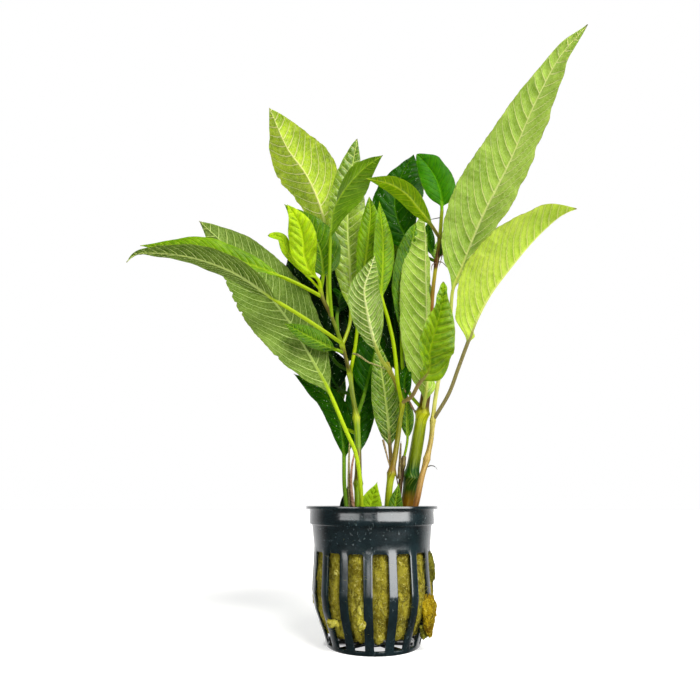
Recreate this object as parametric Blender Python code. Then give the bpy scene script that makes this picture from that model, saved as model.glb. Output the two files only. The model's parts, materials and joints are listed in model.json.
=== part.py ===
"""A potted hygrophila: leafy stems planted in a rockwool plug, held by a slotted net pot.

Units are metres. The origin is the middle of the pot's foot, +Z is up, and -Y is the front.
The planting list is written in millimetres: x to the right, y to the back, z up.
"""
import bisect
import math
from collections import namedtuple

import bmesh
import bpy
from mathutils import Matrix, Vector

MM = 0.001
SHARP_ANGLE = math.radians(40)

# Net pot: a 5 cm pot with sixteen upright ribs under a plain band
POT_HEIGHT = 51.2
RIM_RADIUS = 26.9
FLANGE_THICKNESS = 0.9
BAND_RADIUS = 25.4
BAND_FOOT = 44.4
WALL = 1.0
FLOOR_THICKNESS = 1.4
RIB_COUNT = 16
RIB_WIDTH = 3.3
FIRST_RIB_TURN = math.radians(-96.0)
SLOT_FOOT = 2.1
SLOT_TOP = 34.4
SLOT_CORNER = 1.2
# How near to the axis and how far from it the slot wedges reach
SLOT_NEAR = 15.9
SLOT_FAR = 30.0
HUB_RADIUS = 5.6
HUB_DISC_RADIUS = 4.6
FLOOR_OPENING_OUTER = 15.4
SPOKE_COUNT = 8
SPOKE_WIDTH = 2.4
POT_SEGMENTS = 32
# The wall's outer line from the foot up to the band, as (radius, height)
WALL_LINE = [(18.2, 0.0), (18.65, 2.1), (19.7, 5.2), (21.4, 9.5), (23.1, 13.8), (24.0, 19.5),
             (23.8, 24.7), (23.4, 36.0), (24.4, 44.1)]

# Rockwool plug
GAP = 0.3
STALK_GAP = 0.5
PLUG_FOOT = 6.0
PLUG_TOP = 43.0
PLUG_CLEARANCE = 0.75
PLUG_BULGE = 0.3
PLUG_STEPS = 7
POCKET_DEPTH = 8.0
POCKET_CLEARANCE = 0.7
POCKET_SIDES = 10
TUFT_SLOT = 3
TUFT_RADIUS = 22.8
TUFT_HEIGHT = 13.0
TUFT_REACH = 3.8
TUFT_HALF_WIDTH = 2.4
TUFT_HALF_HEIGHT = 7.5

# Leaves and stems
BLADE_THICKNESS = 0.7
TIP_THICKNESS = 0.36
PETIOLE_RADIUS = 0.85
SMALL_PETIOLE_RADIUS = 0.6
NODE_SWELL = 0.35
NODE_SPREAD = 2.2
# The shares of a stem's length between which it thins from its foot radius to its top radius
TAPER_START = 0.2
TAPER_END = 0.8
STEM_SIDES = 8
STEM_RINGS = 18
SHORT_STEM_RINGS = 12
SHORT_STEM = 60.0
LEAF_SIDES = 8
SMALL_LEAF_SIDES = 6

COLOURS = {
    "pot": ((0.012, 0.016, 0.020), 0.28),
    "rockwool": ((0.30, 0.21, 0.035), 0.95),
    "stem": ((0.26, 0.33, 0.035), 0.45),
    "woody_stem": ((0.30, 0.20, 0.07), 0.60),
    "pale_leaf": ((0.25, 0.40, 0.12), 0.50),
    "bright_leaf": ((0.30, 0.50, 0.02), 0.42),
    "green_leaf": ((0.10, 0.27, 0.03), 0.38),
    "dark_leaf": ((0.015, 0.085, 0.012), 0.25),
}

Stem = namedtuple("Stem", "name finish radius joints route")
# radius is (at the foot, at the top); joints are the heights of the swollen nodes
STEMS = [
    Stem("stem_left", "stem", (1.5, 0.95), (60, 87, 106, 118, 142),
         [(-5.8, -7, 36), (-5.8, -7, 46), (-5.6, -7, 60), (-5.5, -6, 73), (-6.2, -5, 87), (-7.8, -4, 97),
          (-9, -4, 106), (-12, -4, 118), (-17, -5, 132), (-22, -6, 143), (-22, -6, 146)]),
    Stem("stem_middle", "stem", (1.35, 0.9), (64, 92, 107),
         [(6, -6, 36), (6, -6, 46), (7, -7, 58), (8, -7, 64), (10, -7, 73), (12, -7, 85),
          (13, -8, 93), (10, -8, 103), (8, -8, 107), (7, -8, 111)]),
    Stem("stem_thick", "stem", (2.7, 0.85), (63, 90, 162, 174),
         [(14.8, 4.8, 36), (14.8, 4.8, 46), (16, 4, 56), (17, 3, 62), (19.5, 2, 74), (22, 1, 87),
          (24, 1, 96), (27, 2, 114), (29, 2, 141), (32, 1, 162), (34, 1, 173), (36, 1, 190)]),
    Stem("stem_right", "woody_stem", (1.15, 0.85), (70, 86, 110),
         [(16.6, -4, 36), (16.6, -4, 46), (18.7, -5, 55), (20.4, -5, 62), (23, -4, 70), (25.5, -4, 78),
          (27, -4, 86), (29, -4, 95), (31, -4, 104), (33, -3, 115), (35, -1, 124)]),
    Stem("stem_dead_stub", "woody_stem", (1.0, 0.9), (68,),
         [(10.8, 1.4, 36), (10.8, 1.4, 46), (12, 1, 58), (13.6, 0, 69), (14.2, -0.3, 72)]),
]

Leaf = namedtuple("Leaf", "name finish stem height route stalk width face fold belly")
# stem and height say where the stalk starts; stalk is its length up to the blade;
# face is the way the upper side looks, at the base and at the tip;
# fold is how far the left and right halves rise, in degrees;
# belly is where the blade is widest, as a share of its length
LEAVES = [
    Leaf("leaf_big_left", "pale_leaf", None, 0,
         [(-4.5, -14, 36), (-4.5, -14, 46), (-4.6, -16, 57), (-6.6, -17, 71), (-10.4, -16, 80), (-17.6, -12, 97),
          (-25.5, -6, 112.5), (-37, 0, 132), (-48, 5, 147.5), (-62, 9, 166), (-85, 11, 189)],
         62, 31, ((-0.3, 1, -0.1), (-0.1, 1, 0.2)), (5, 5), 0.58),
    Leaf("leaf_arching_left", "pale_leaf", "stem_left", 119.5,
         [(-18, -10, 122.5), (-28, -15, 128), (-42, -22, 135), (-58, -29, 144), (-74, -33, 148.5),
          (-88, -37, 148), (-94, -38, 147), (-97.5, -38, 144.5)],
         34, 15, ((0, 0.35, 1), (0, 0.2, 1)), (12, 12), 0.42),
    Leaf("leaf_bright_left", "bright_leaf", "stem_left", 141,
         [(-31, -10, 145.5), (-40, -12, 149), (-58, -15, 155), (-75, -17, 160), (-92, -18, 160),
          (-101, -18, 161)],
         20, 13.5, ((0, -0.85, 0.5), (0, -0.95, 0.3)), (14, 14), 0.45),
    Leaf("leaf_low_left", "dark_leaf", None, 0,
         [(-10, -10, 36), (-10, -10, 46), (-11, -8.5, 62), (-12, -4, 74), (-12.5, -1, 81), (-14, 2, 88.5),
          (-18, 5, 97), (-24, 8, 103), (-33, 11, 111)],
         42, 11, ((-0.4, -1, 0.2), (-0.3, -1, 0.4)), (8, 8), 0.45),
    Leaf("leaf_top_left", "pale_leaf", "stem_left", 130,
         [(-19, 4, 140), (-20, 12, 163), (-22, 20, 193), (-32, 26, 225), (-43, 29, 245), (-55, 32, 275)],
         60, 35, ((0.2, 1, 0), (0.3, 1, 0.2)), (32, 8), 0.50),
    Leaf("leaf_young_left", "bright_leaf", "stem_left", 147,
         [(-23, -7.2, 148.8), (-27.2, -11, 152.6), (-29.4, -12.5, 159), (-30, -13.5, 166), (-32.4, -14.5, 174.5),
          (-37.5, -15, 183)],
         5, 13, ((0, -1, 0.1), (0, -1, 0.2)), (12, 12), 0.50),
    Leaf("leaf_young_behind", "green_leaf", "stem_left", 144,
         [(-21.5, 0, 156), (-24, 2, 171), (-32, 5, 185), (-42, 8, 197)],
         16, 13, ((0.1, -1, 0.1), (0, -1, 0.3)), (10, 10), 0.45),
    Leaf("leaf_small_curled", "bright_leaf", "stem_left", 144.5,
         [(-27, -6.5, 150), (-32, -9, 154), (-37.5, -11, 161), (-40, -12, 167.5), (-46, -13, 168.5)],
         7, 3.9, ((0, -1, 0.2), (0, -1, 0.3)), (15, 15), 0.75),
    Leaf("leaf_upright_middle", "green_leaf", "stem_left", 119,
         [(-9, 1, 131), (-8.5, 3, 141), (-9, 6, 163), (-10, 8, 185), (-9.5, 10, 206), (-5, 11, 238)],
         20, 17, ((0, -1, 0), (0, -1, 0.1)), (6, 6), 0.52),
    Leaf("leaf_arching_middle", "green_leaf", "stem_left", 131,
         [(-18, -8, 144), (-18, -10, 158), (-17.5, -12, 171), (-16.5, -14, 179), (-13, -17, 186),
          (-4, -23, 195), (5.5, -29, 199)],
         36, 18, ((0.7, 0.7, 0.1), (0.3, 0.5, 0.8)), (20, 10), 0.45),
    Leaf("leaf_front_ribbed", "pale_leaf", "stem_middle", 107,
         [(5, -14, 109), (3, -18, 111.5), (1, -21, 116), (-2, -25, 128), (-3, -26.5, 137), (-1, -27, 144),
          (1.5, -26, 152)],
         13, 14, ((0, 1, 0), (0, 1, -0.1)), (6, 6), 0.48),
    Leaf("leaf_bright_middle", "bright_leaf", "stem_left", 106,
         [(-6.5, -1, 120), (-5, -1, 134), (-3, -2, 151), (-1, -2, 167), (1, -1, 186), (0.5, 1, 197)],
         34, 10, ((0, -1, 0.1), (0, -1, 0.2)), (8, 8), 0.55),
    Leaf("leaf_narrow_middle", "bright_leaf", "stem_middle", 92,
         [(11, -12, 101), (10.5, -12.5, 109), (9.5, -12, 119), (7.5, -12, 129), (5, -11, 140),
          (5.5, -10, 153), (6, -9, 169), (5, -8, 189)],
         48, 11, ((0.5, -1, 0.1), (0.5, -1, 0.1)), (12, 12), 0.45),
    Leaf("leaf_arching_right", "bright_leaf", "stem_thick", 174,
         [(28, -9, 177), (22, -15, 181), (17, -19, 185), (11, -22, 188), (5, -25, 188.5), (-2, -28, 188)],
         10, 9.5, ((0, 0.6, 0.8), (0, 0.5, 0.9)), (8, 8), 0.48),
    Leaf("leaf_top_dark", "dark_leaf", "stem_thick", 162,
         [(26, 12, 172), (19, 17, 185), (15, 22, 205), (19, 26, 224), (27, 30, 242)],
         20, 22, ((-0.2, -1, 0.1), (0, -1, 0.3)), (7, 7), 0.38),
    Leaf("leaf_top_green", "green_leaf", "stem_thick", 191,
         [(36.2, 2, 198), (34.5, 3, 208), (31, 5, 217), (25.5, 6, 225)],
         5, 16.5, ((0, -1, 0.1), (-0.2, -1, 0.2)), (6, 6), 0.50),
    Leaf("leaf_big_right", "pale_leaf", "stem_thick", 90,
         [(23.5, -6, 97), (24, -9, 103), (24, -11, 115), (24.5, -12, 133), (25, -11, 152), (25, -7, 169),
          (24, -3, 185)],
         9, 25, ((0.3, 1, 0), (0.3, 1, 0.1)), (6, 78), 0.45),
    Leaf("leaf_front_right", "bright_leaf", "stem_middle", 93,
         [(16.5, -14.5, 94.5), (18.8, -18.5, 98.5), (22.6, -21, 103.5), (23, -24.5, 111), (25.4, -27, 120),
          (27.6, -28, 128), (29.4, -28, 139.5)],
         13, 17.6, ((0.53, -1, 0.1), (0.4, -1, 0.1)), (28, 28), 0.30),
    Leaf("leaf_tall_right", "pale_leaf", "stem_right", 125,
         [(37, 0, 134), (39, 0, 148), (43, 0, 157), (54, -5, 183), (68, -12, 210), (80, -20, 237),
          (91, -26, 256), (103, -32, 268)],
         24, 32, ((-0.2, 1, 0.1), (-0.1, 1, 0.5)), (4, 30), 0.38),
    Leaf("leaf_low_right", "pale_leaf", "stem_right", 86,
         [(32, -8, 97), (36, -10, 107.5), (41, -12, 119), (46, -14, 129), (52, -16, 139), (60, -18, 149),
          (69, -20, 159), (78, -22, 167), (89, -26, 174)],
         37, 33, ((-0.5, 1, 0.2), (-0.3, 1, 0.6)), (6, 74), 0.44),
    Leaf("leaf_dark_behind_stem", "dark_leaf", "stem_left", 60,
         [(-5, -2, 70), (-5, 3, 82), (-4, 7, 98), (-2, 10, 110), (-1, 12, 123)],
         14, 12, ((0.2, -1, 0), (0.2, -1, 0.2)), (8, 8), 0.45),
    Leaf("leaf_veined_middle", "green_leaf", "stem_middle", 64,
         [(8, -3.5, 73), (7.3, -3, 86), (6, -2.5, 100), (4.5, -2, 112), (3, -1, 124)],
         12, 12, ((0, -1, 0), (0, -1, 0.1)), (8, 8), 0.45),
    Leaf("leaf_dark_middle", "dark_leaf", "stem_left", 87,
         [(-3, 1, 97), (0, 5, 109), (3, 8, 123), (5, 11, 138)],
         14, 14, ((-0.1, -1, 0.1), (0, -1, 0.3)), (8, 8), 0.45),
    Leaf("leaf_short_left", "green_leaf", "stem_left", 115.5,
         [(-17, -4.5, 118), (-27, -5.5, 123), (-38, -7, 128.5)],
         4, 10, ((0, -1, 0.3), (0, -1, 0.4)), (8, 8), 0.45),
    Leaf("leaf_shadow_left", "dark_leaf", "stem_left", 107,
         [(-15, 3, 113), (-20, 9, 122), (-29, 15, 142), (-36, 20, 163)],
         14, 20, ((0, -1, 0.1), (0.2, -1, 0.3)), (8, 8), 0.45),
    Leaf("leaf_shadow_low", "dark_leaf", "stem_left", 97,
         [(-13, 5, 101), (-16, 12, 106), (-20, 18, 115), (-26, 22, 128)],
         14, 13, ((0, -1, 0), (0, -1, 0.3)), (8, 8), 0.45),
    Leaf("leaf_shadow_middle", "dark_leaf", "stem_left", 110,
         [(-10.5, 4, 114), (-8.5, 14, 119), (-7, 22, 127), (-6.5, 28, 137), (-8, 32, 150)],
         14, 20, ((0, -1, 0.3), (0, -1, 0.2)), (8, 8), 0.45),
    Leaf("leaf_narrow_right", "green_leaf", "stem_thick", 91,
         [(17, -2.5, 98), (14.5, -4, 106), (14, -4, 120), (15, -4, 140), (18.5, -4, 160), (22, -3, 180)],
         34, 12, ((0.2, -1, 0.1), (0.3, -1, 0.1)), (8, 8), 0.60),
    Leaf("leaf_dark_inner", "dark_leaf", "stem_middle", 101,
         [(13.5, -4.5, 107), (12.5, 1, 118), (11.5, 5, 134), (11, 7, 150), (11.5, 9, 168)],
         12, 12, ((0, -1, 0.1), (0, -1, 0.2)), (8, 8), 0.50),
    Leaf("leaf_small_dark_right", "dark_leaf", "stem_middle", 91,
         [(15.8, -7, 95.5), (16.5, -7.5, 100), (18.5, -8, 105.5)],
         3, 6, ((0, -1, 0.2), (0, -1, 0.4)), (8, 8), 0.45),
    Leaf("leaf_stub", "green_leaf", "stem_dead_stub", 70,
         [(15.6, -0.6, 78), (15.7, -0.8, 87), (15.6, -0.6, 98)],
         9, 6, ((0, -1, 0), (0, -1, 0.1)), (8, 8), 0.45),
    Leaf("leaf_pot_front", "bright_leaf", None, 0,
         [(-1, -8, 36), (-1, -8, 44), (-0.5, -8.5, 52), (2, -10, 60.5)],
         9, 9, ((0, -1, 0), (0, -1, 0.1)), (10, 10), 0.38),
    Leaf("leaf_pot_right", "dark_leaf", None, 0,
         [(9, -11.5, 36), (9, -11.5, 44), (9, -11.5, 52), (10.5, -12, 60)],
         9, 6, ((0, -1, 0), (0, -1, 0.1)), (10, 10), 0.38),
    Leaf("leaf_pot_left", "dark_leaf", None, 0,
         [(-10, -3, 36), (-10, -3, 44), (-10, -3, 51), (-10, -3, 59)],
         9, 4.5, ((0, -1, 0), (0, -1, 0.1)), (10, 10), 0.38),
    Leaf("leaf_tip_pair_left", "dark_leaf", "stem_thick", 163,
         [(29, 1.5, 166), (27.5, 2, 171), (28.5, 2.5, 177)],
         3, 5, ((0, -1, 0.2), (0, -1, 0.3)), (10, 10), 0.45),
    Leaf("leaf_tip_pair_right", "dark_leaf", "stem_thick", 164,
         [(35, 3.5, 168), (36, 4.5, 172), (36, 4.5, 176)],
         2, 4, ((0, -1, 0.2), (0, -1, 0.3)), (10, 10), 0.45),
    Leaf("leaf_back_left", "green_leaf", "stem_left", 80,
         [(-12, 3, 85), (-19, 21, 105), (-34, 42, 127), (-52, 60, 146), (-64, 75, 154)],
         20, 24, ((-0.2, -0.3, 1), (-0.3, 0.2, 1)), (12, 12), 0.42),
    Leaf("leaf_back_arching", "dark_leaf", "stem_left", 125,
         [(-15, 6, 136), (-14, 22, 151), (-13, 44, 167), (-13, 68, 170), (-14, 86, 160)],
         18, 21, ((0, -0.6, 1), (0, 0.6, 1)), (10, 10), 0.42),
    Leaf("leaf_back_low", "dark_leaf", "stem_middle", 96,
         [(14, 3, 105), (13.5, 16, 120), (9, 40, 141), (4, 64, 148), (2, 80, 144)],
         18, 20, ((0, -0.6, 1), (0, 0.5, 1)), (10, 10), 0.42),
    Leaf("leaf_back_right", "green_leaf", "stem_thick", 126,
         [(28, 10, 136), (26, 24, 152), (22, 44, 170), (18, 66, 180), (16, 84, 178)],
         18, 22, ((0, -0.6, 1), (0, 0.5, 1)), (10, 10), 0.42),
    Leaf("leaf_back_upright", "green_leaf", "stem_thick", 136,
         [(25, 8, 146), (17, 20, 166), (8, 34, 189), (0, 48, 209), (-5, 60, 225)],
         26, 18, ((0, -1, 0.6), (0, -0.6, 1)), (8, 8), 0.45),
    Leaf("leaf_back_far_right", "pale_leaf", "stem_thick", 143,
         [(34, 10, 153), (42, 22, 168), (53, 38, 188), (64, 54, 208), (73, 68, 224)],
         20, 22, ((-0.4, -0.4, 1), (-0.3, 0, 1)), (10, 10), 0.42),
]

SMALL_LEAF_WIDTH = 9.5
OUTLINE_POWER = 2.1
RINGS_PER_MM = 0.075
LEAST_RINGS = 7
MOST_RINGS = 13


def clear_scene():
    for item in list(bpy.data.objects):
        bpy.data.objects.remove(item, do_unlink=True)


def material(finish):
    found = bpy.data.materials.get(finish)
    if found:
        return found
    colour, roughness = COLOURS[finish]
    made = bpy.data.materials.new(finish)
    made.use_nodes = True
    shader = made.node_tree.nodes["Principled BSDF"]
    shader.inputs["Base Color"].default_value = (*colour, 1)
    shader.inputs["Roughness"].default_value = roughness
    shader.inputs["Metallic"].default_value = 0
    return made


def add_object(name, bm, finish=None):
    """A named object from a bmesh that is written in millimetres."""
    bmesh.ops.scale(bm, vec=(MM, MM, MM), verts=bm.verts)
    mesh = bpy.data.meshes.new(name)
    bm.to_mesh(mesh)
    bm.free()
    made = bpy.data.objects.new(name, mesh)
    bpy.context.scene.collection.objects.link(made)
    if finish:
        mesh.materials.append(material(finish))
        mesh.shade_smooth()
        mesh.set_sharp_from_angle(angle=SHARP_ANGLE)
    else:
        made.hide_render = True
        made.display_type = "WIRE"
    return made


def boolean(target, cutter, operation):
    change = target.modifiers.new(cutter.name, "BOOLEAN")
    change.object = cutter
    change.operation = operation
    change.solver = "EXACT"


class Route:
    """A smooth curve through hand-placed points, read by the distance along it."""

    STEPS = 12

    def __init__(self, points):
        points = [Vector(point) for point in points]
        before = points[0] * 2 - points[1]
        after = points[-1] * 2 - points[-2]
        padded = [before] + points + [after]
        self.places = [points[0]]
        for start in range(len(points) - 1):
            for step in range(1, self.STEPS + 1):
                self.places.append(self.between(padded[start:start + 4], step / self.STEPS))
        self.marks = [0.0]
        for one, two in zip(self.places, self.places[1:]):
            self.marks.append(self.marks[-1] + (two - one).length)
        self.length = self.marks[-1]

    @staticmethod
    def between(four, share):
        """The Catmull-Rom point between the second and third of four, spaced by their distances."""
        one, two, three, four_th = four
        knots = [0.0]
        for left, right in ((one, two), (two, three), (three, four_th)):
            knots.append(knots[-1] + max((right - left).length, 0.01) ** 0.5)
        k0, k1, k2, k3 = knots
        at = k1 + (k2 - k1) * share
        a1 = one * ((k1 - at) / (k1 - k0)) + two * ((at - k0) / (k1 - k0))
        a2 = two * ((k2 - at) / (k2 - k1)) + three * ((at - k1) / (k2 - k1))
        a3 = three * ((k3 - at) / (k3 - k2)) + four_th * ((at - k2) / (k3 - k2))
        b1 = a1 * ((k2 - at) / (k2 - k0)) + a2 * ((at - k0) / (k2 - k0))
        b2 = a2 * ((k3 - at) / (k3 - k1)) + a3 * ((at - k1) / (k3 - k1))
        return b1 * ((k2 - at) / (k2 - k1)) + b2 * ((at - k1) / (k2 - k1))

    def at(self, distance):
        distance = min(max(distance, 0.0), self.length)
        after = min(max(bisect.bisect_right(self.marks, distance), 1), len(self.marks) - 1)
        span = self.marks[after] - self.marks[after - 1]
        share = (distance - self.marks[after - 1]) / span if span else 0.0
        return self.places[after - 1].lerp(self.places[after], share)

    def heading(self, distance):
        near = 0.4
        return (self.at(distance + near) - self.at(distance - near)).normalized()

    def at_height(self, height):
        """The distance at which the curve first reaches a height."""
        for index, place in enumerate(self.places):
            if place.z >= height:
                return self.marks[index]
        return self.length


def loft(sides, rings, place):
    """A closed tube whose corners go where place(share along, angle round) puts them."""
    bm = bmesh.new()
    bmesh.ops.create_cone(bm, cap_ends=True, cap_tris=False, segments=sides, radius1=1, radius2=1, depth=1)
    bmesh.ops.rotate(bm, verts=bm.verts, matrix=Matrix.Rotation(-math.pi / 2, 3, "Z"))
    along = [edge for edge in bm.edges if abs(edge.verts[0].co.z - edge.verts[1].co.z) > 0.5]
    bmesh.ops.subdivide_edges(bm, edges=along, cuts=rings - 2, use_grid_fill=True)
    for vert in bm.verts:
        vert.co = place(vert.co.z + 0.5, math.atan2(vert.co.y, vert.co.x))
    return bm


def smooth_step(low, high, value):
    share = min(max((value - low) / (high - low), 0.0), 1.0)
    return share * share * (3 - 2 * share)


def stem_radius(stem, route, distance):
    """A stem tapers from foot to top and swells at each of its joints."""
    slim = smooth_step(TAPER_START, TAPER_END, distance / route.length)
    radius = stem.radius[0] + (stem.radius[1] - stem.radius[0]) * slim
    height = route.at(distance).z
    swell = sum(math.exp(-((height - joint) / NODE_SPREAD) ** 2) for joint in stem.joints)
    return radius * (1 + NODE_SWELL * swell)


def build_stem(stem):
    route = Route(stem.route)
    rings = SHORT_STEM_RINGS if route.length < SHORT_STEM else STEM_RINGS
    side = Vector((1, 0, 0))

    def place(share, angle):
        distance = share * route.length
        forward = route.heading(distance)
        across = (side - forward * side.dot(forward)).normalized()
        up = forward.cross(across)
        radius = stem_radius(stem, route, distance)
        return route.at(distance) + across * (radius * math.cos(angle)) + up * (radius * math.sin(angle))

    add_object(stem.name, loft(STEM_SIDES, rings, place), stem.finish)
    return route


def stalk_start(leaf, stems):
    """The point beside the stem where a leaf's stalk begins, a touching gap away from it."""
    stem, route = stems[leaf.stem]
    if leaf.height > route.places[-1].z:
        return route.places[-1] + route.heading(route.length) * (GAP + stalk_radius(leaf) / 2)
    distance = route.at_height(leaf.height)
    centre = route.at(distance)
    reach = Vector(leaf.route[0]) - centre
    level = Vector((reach.x, reach.y, 0)).normalized()
    rise = abs(reach.normalized().z)
    clearance = stem_radius(stem, route, distance) + STALK_GAP + stalk_radius(leaf) * rise
    return centre + level * clearance


def stalk_radius(leaf):
    return SMALL_PETIOLE_RADIUS if leaf.width < SMALL_LEAF_WIDTH else PETIOLE_RADIUS


def blade_outline(belly, share):
    """Half the blade's width as a share of the widest: long at the base, pointed at the tip."""
    if share <= 0 or share >= 1:
        return 0.0
    rise, fall = OUTLINE_POWER * belly, OUTLINE_POWER * (1 - belly)
    return (share / belly) ** rise * ((1 - share) / (1 - belly)) ** fall


def build_leaf(leaf, stems):
    points = list(leaf.route)
    if leaf.stem:
        points.insert(0, stalk_start(leaf, stems))
    route = Route(points)
    thin = leaf.width < SMALL_LEAF_WIDTH
    stalk = stalk_radius(leaf)
    rings = round(min(max(route.length * RINGS_PER_MM, LEAST_RINGS), MOST_RINGS))
    blade_length = route.length - leaf.stalk
    base_face, tip_face = (Vector(face).normalized() for face in leaf.face)
    folds = [math.radians(angle) for angle in leaf.fold]

    def place(share, angle):
        distance = share * route.length
        forward = route.heading(distance)
        blade = (distance - leaf.stalk) / blade_length
        face = base_face.lerp(tip_face, smooth_step(0, 1, blade))
        up = (face - forward * face.dot(forward)).normalized()
        across = up.cross(forward)
        side = math.cos(angle)
        height = math.sin(angle)
        width = leaf.width / 2 * blade_outline(leaf.belly, blade)
        reach = max(width, stalk * (1 - smooth_step(0.5, 1.0, blade)), TIP_THICKNESS / 2)
        fold = (folds[1] if side > 0 else folds[0]) * smooth_step(0, 0.12, blade)
        thick = stalk + (BLADE_THICKNESS / 2 - stalk) * smooth_step(-0.02, 0.12, blade)
        thick += (TIP_THICKNESS - BLADE_THICKNESS) / 2 * smooth_step(0.7, 1.0, blade)
        if height < -0.9:
            thick = max(thick, stalk * (1 - 0.7 * smooth_step(0, 0.9, blade)))
        outward = reach * abs(side)
        position = route.at(distance)
        position = position + across * (math.copysign(outward, side) * math.cos(fold))
        return position + up * (outward * math.sin(fold) + thick * height)

    sides = SMALL_LEAF_SIDES if thin else LEAF_SIDES
    add_object(leaf.name, loft(sides, rings, place), leaf.finish)


def build_rootlet(stems):
    """A thin dry rootlet that curls out to the right of the right-hand stem."""
    stem, route = stems["stem_right"]
    distance = route.at_height(65)
    start = route.at(distance) + Vector((stem_radius(stem, route, distance) + 2 * STALK_GAP, 0, 0))
    curl = Route([start, start + Vector((2.2, -0.4, 0.6)), start + Vector((4.4, -0.6, 0.3)),
                  start + Vector((6, -0.6, -1.2))])

    def place(share, angle):
        distance = share * curl.length
        forward = curl.heading(distance)
        across = Vector((0, 1, 0)).cross(forward).normalized()
        up = forward.cross(across)
        radius = 0.35 - 0.15 * share
        return curl.at(distance) + across * (radius * math.cos(angle)) + up * (radius * math.sin(angle))

    add_object("rootlet", loft(SMALL_LEAF_SIDES, 6, place), "woody_stem")


def spun(profile, segments):
    """A ring turned about Z from a closed outline of (radius, height) points."""
    bm = bmesh.new()
    corners = [bm.verts.new((radius, 0, height)) for radius, height in profile]
    edges = [bm.edges.new((one, two)) for one, two in zip(corners, corners[1:] + corners[:1])]
    bmesh.ops.spin(bm, geom=corners + edges, cent=(0, 0, 0), axis=(0, 0, 1), angle=math.tau,
                   steps=segments, use_merge=True)
    bmesh.ops.remove_doubles(bm, verts=bm.verts, dist=0.01)
    bmesh.ops.recalc_face_normals(bm, faces=bm.faces)
    return bm


def inner_line():
    """The wall's inner side, one wall thickness in from the outer line."""
    return [(radius - WALL, height) for radius, height in WALL_LINE]


def radius_at(line, height):
    for (r0, z0), (r1, z1) in zip(line, line[1:]):
        if z0 <= height <= z1:
            return r0 + (r1 - r0) * (height - z0) / (z1 - z0)
    return line[-1][0]


def slot_turn(index):
    return FIRST_RIB_TURN + (index + 0.5) * math.tau / RIB_COUNT


def wedge(bm, turn, near, far, near_half, far_half, foot, top, corner=0.0):
    """Adds an upright wedge that points outwards at an angle, its top corners rounded."""
    made = bmesh.ops.create_cube(bm, size=1)["verts"]
    for vert in made:
        outer = vert.co.x > 0
        half = far_half if outer else near_half
        level = top if vert.co.z > 0 else foot
        vert.co = Vector((far if outer else near, math.copysign(half, vert.co.y), level))
    if corner:
        edges = {edge for vert in made for edge in vert.link_edges
                 if all(end.co.z == top for end in edge.verts)
                 and abs(edge.verts[0].co.x - edge.verts[1].co.x) > 1}
        rounded = bmesh.ops.bevel(bm, geom=list(edges), offset=corner, offset_type="OFFSET", segments=2,
                                  profile=0.5, affect="EDGES", material=-1, clamp_overlap=True)
        made = list({vert for vert in made if vert.is_valid} | set(rounded["verts"]))
    bmesh.ops.rotate(bm, verts=made, cent=(0, 0, 0), matrix=Matrix.Rotation(turn, 3, "Z"))


def build_pot():
    """The net pot: flange and band over sixteen ribs, with a spoked floor."""
    outer = WALL_LINE + [(BAND_RADIUS, BAND_FOOT), (BAND_RADIUS, POT_HEIGHT - FLANGE_THICKNESS),
                         (RIM_RADIUS, POT_HEIGHT - FLANGE_THICKNESS + 0.1), (RIM_RADIUS, POT_HEIGHT)]
    inner = [(BAND_RADIUS - WALL, POT_HEIGHT), (BAND_RADIUS - WALL, BAND_FOOT + 0.3)]
    inner += [point for point in reversed(inner_line()) if point[1] > FLOOR_THICKNESS]
    inner += [(radius_at(inner_line(), FLOOR_THICKNESS), FLOOR_THICKNESS), (HUB_DISC_RADIUS, FLOOR_THICKNESS)]
    profile = outer + inner + [(HUB_DISC_RADIUS, 0.0)]
    bm = spun(profile, POT_SEGMENTS)
    rims = [edge for edge in bm.edges if edge.is_boundary]
    bmesh.ops.holes_fill(bm, edges=rims)
    hub_walls = [face for face in bm.faces
                 if all(math.hypot(vert.co.x, vert.co.y) < HUB_DISC_RADIUS + 0.1 for vert in face.verts)]
    bmesh.ops.delete(bm, geom=hub_walls, context="FACES")
    for level in (FLOOR_THICKNESS, 0.0):
        loop = [edge for edge in bm.edges if edge.is_boundary
                and all(abs(vert.co.z - level) < 0.01 for vert in edge.verts)]
        bmesh.ops.contextual_create(bm, geom=loop)
    bmesh.ops.recalc_face_normals(bm, faces=bm.faces)
    pot = add_object("net_pot", bm, "pot")

    cuts = bmesh.new()
    half_sector = math.pi / RIB_COUNT
    for index in range(RIB_COUNT):
        wedge(cuts, slot_turn(index), SLOT_NEAR, SLOT_FAR, SLOT_NEAR * math.sin(half_sector) - RIB_WIDTH / 2,
              SLOT_FAR * math.sin(half_sector) - RIB_WIDTH / 2, SLOT_FOOT, SLOT_TOP, SLOT_CORNER)
    for index in range(SPOKE_COUNT):
        turn = FIRST_RIB_TURN + (index + 0.5) * math.tau / SPOKE_COUNT
        half = math.pi / SPOKE_COUNT
        wedge(cuts, turn, HUB_RADIUS, FLOOR_OPENING_OUTER, HUB_RADIUS * math.sin(half) - SPOKE_WIDTH / 2,
              FLOOR_OPENING_OUTER * math.sin(half) - SPOKE_WIDTH / 2, -2.0, SLOT_FOOT - 0.3)
    bmesh.ops.recalc_face_normals(cuts, faces=cuts.faces)
    boolean(pot, add_object("slot_cutter", cuts), "DIFFERENCE")


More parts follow.
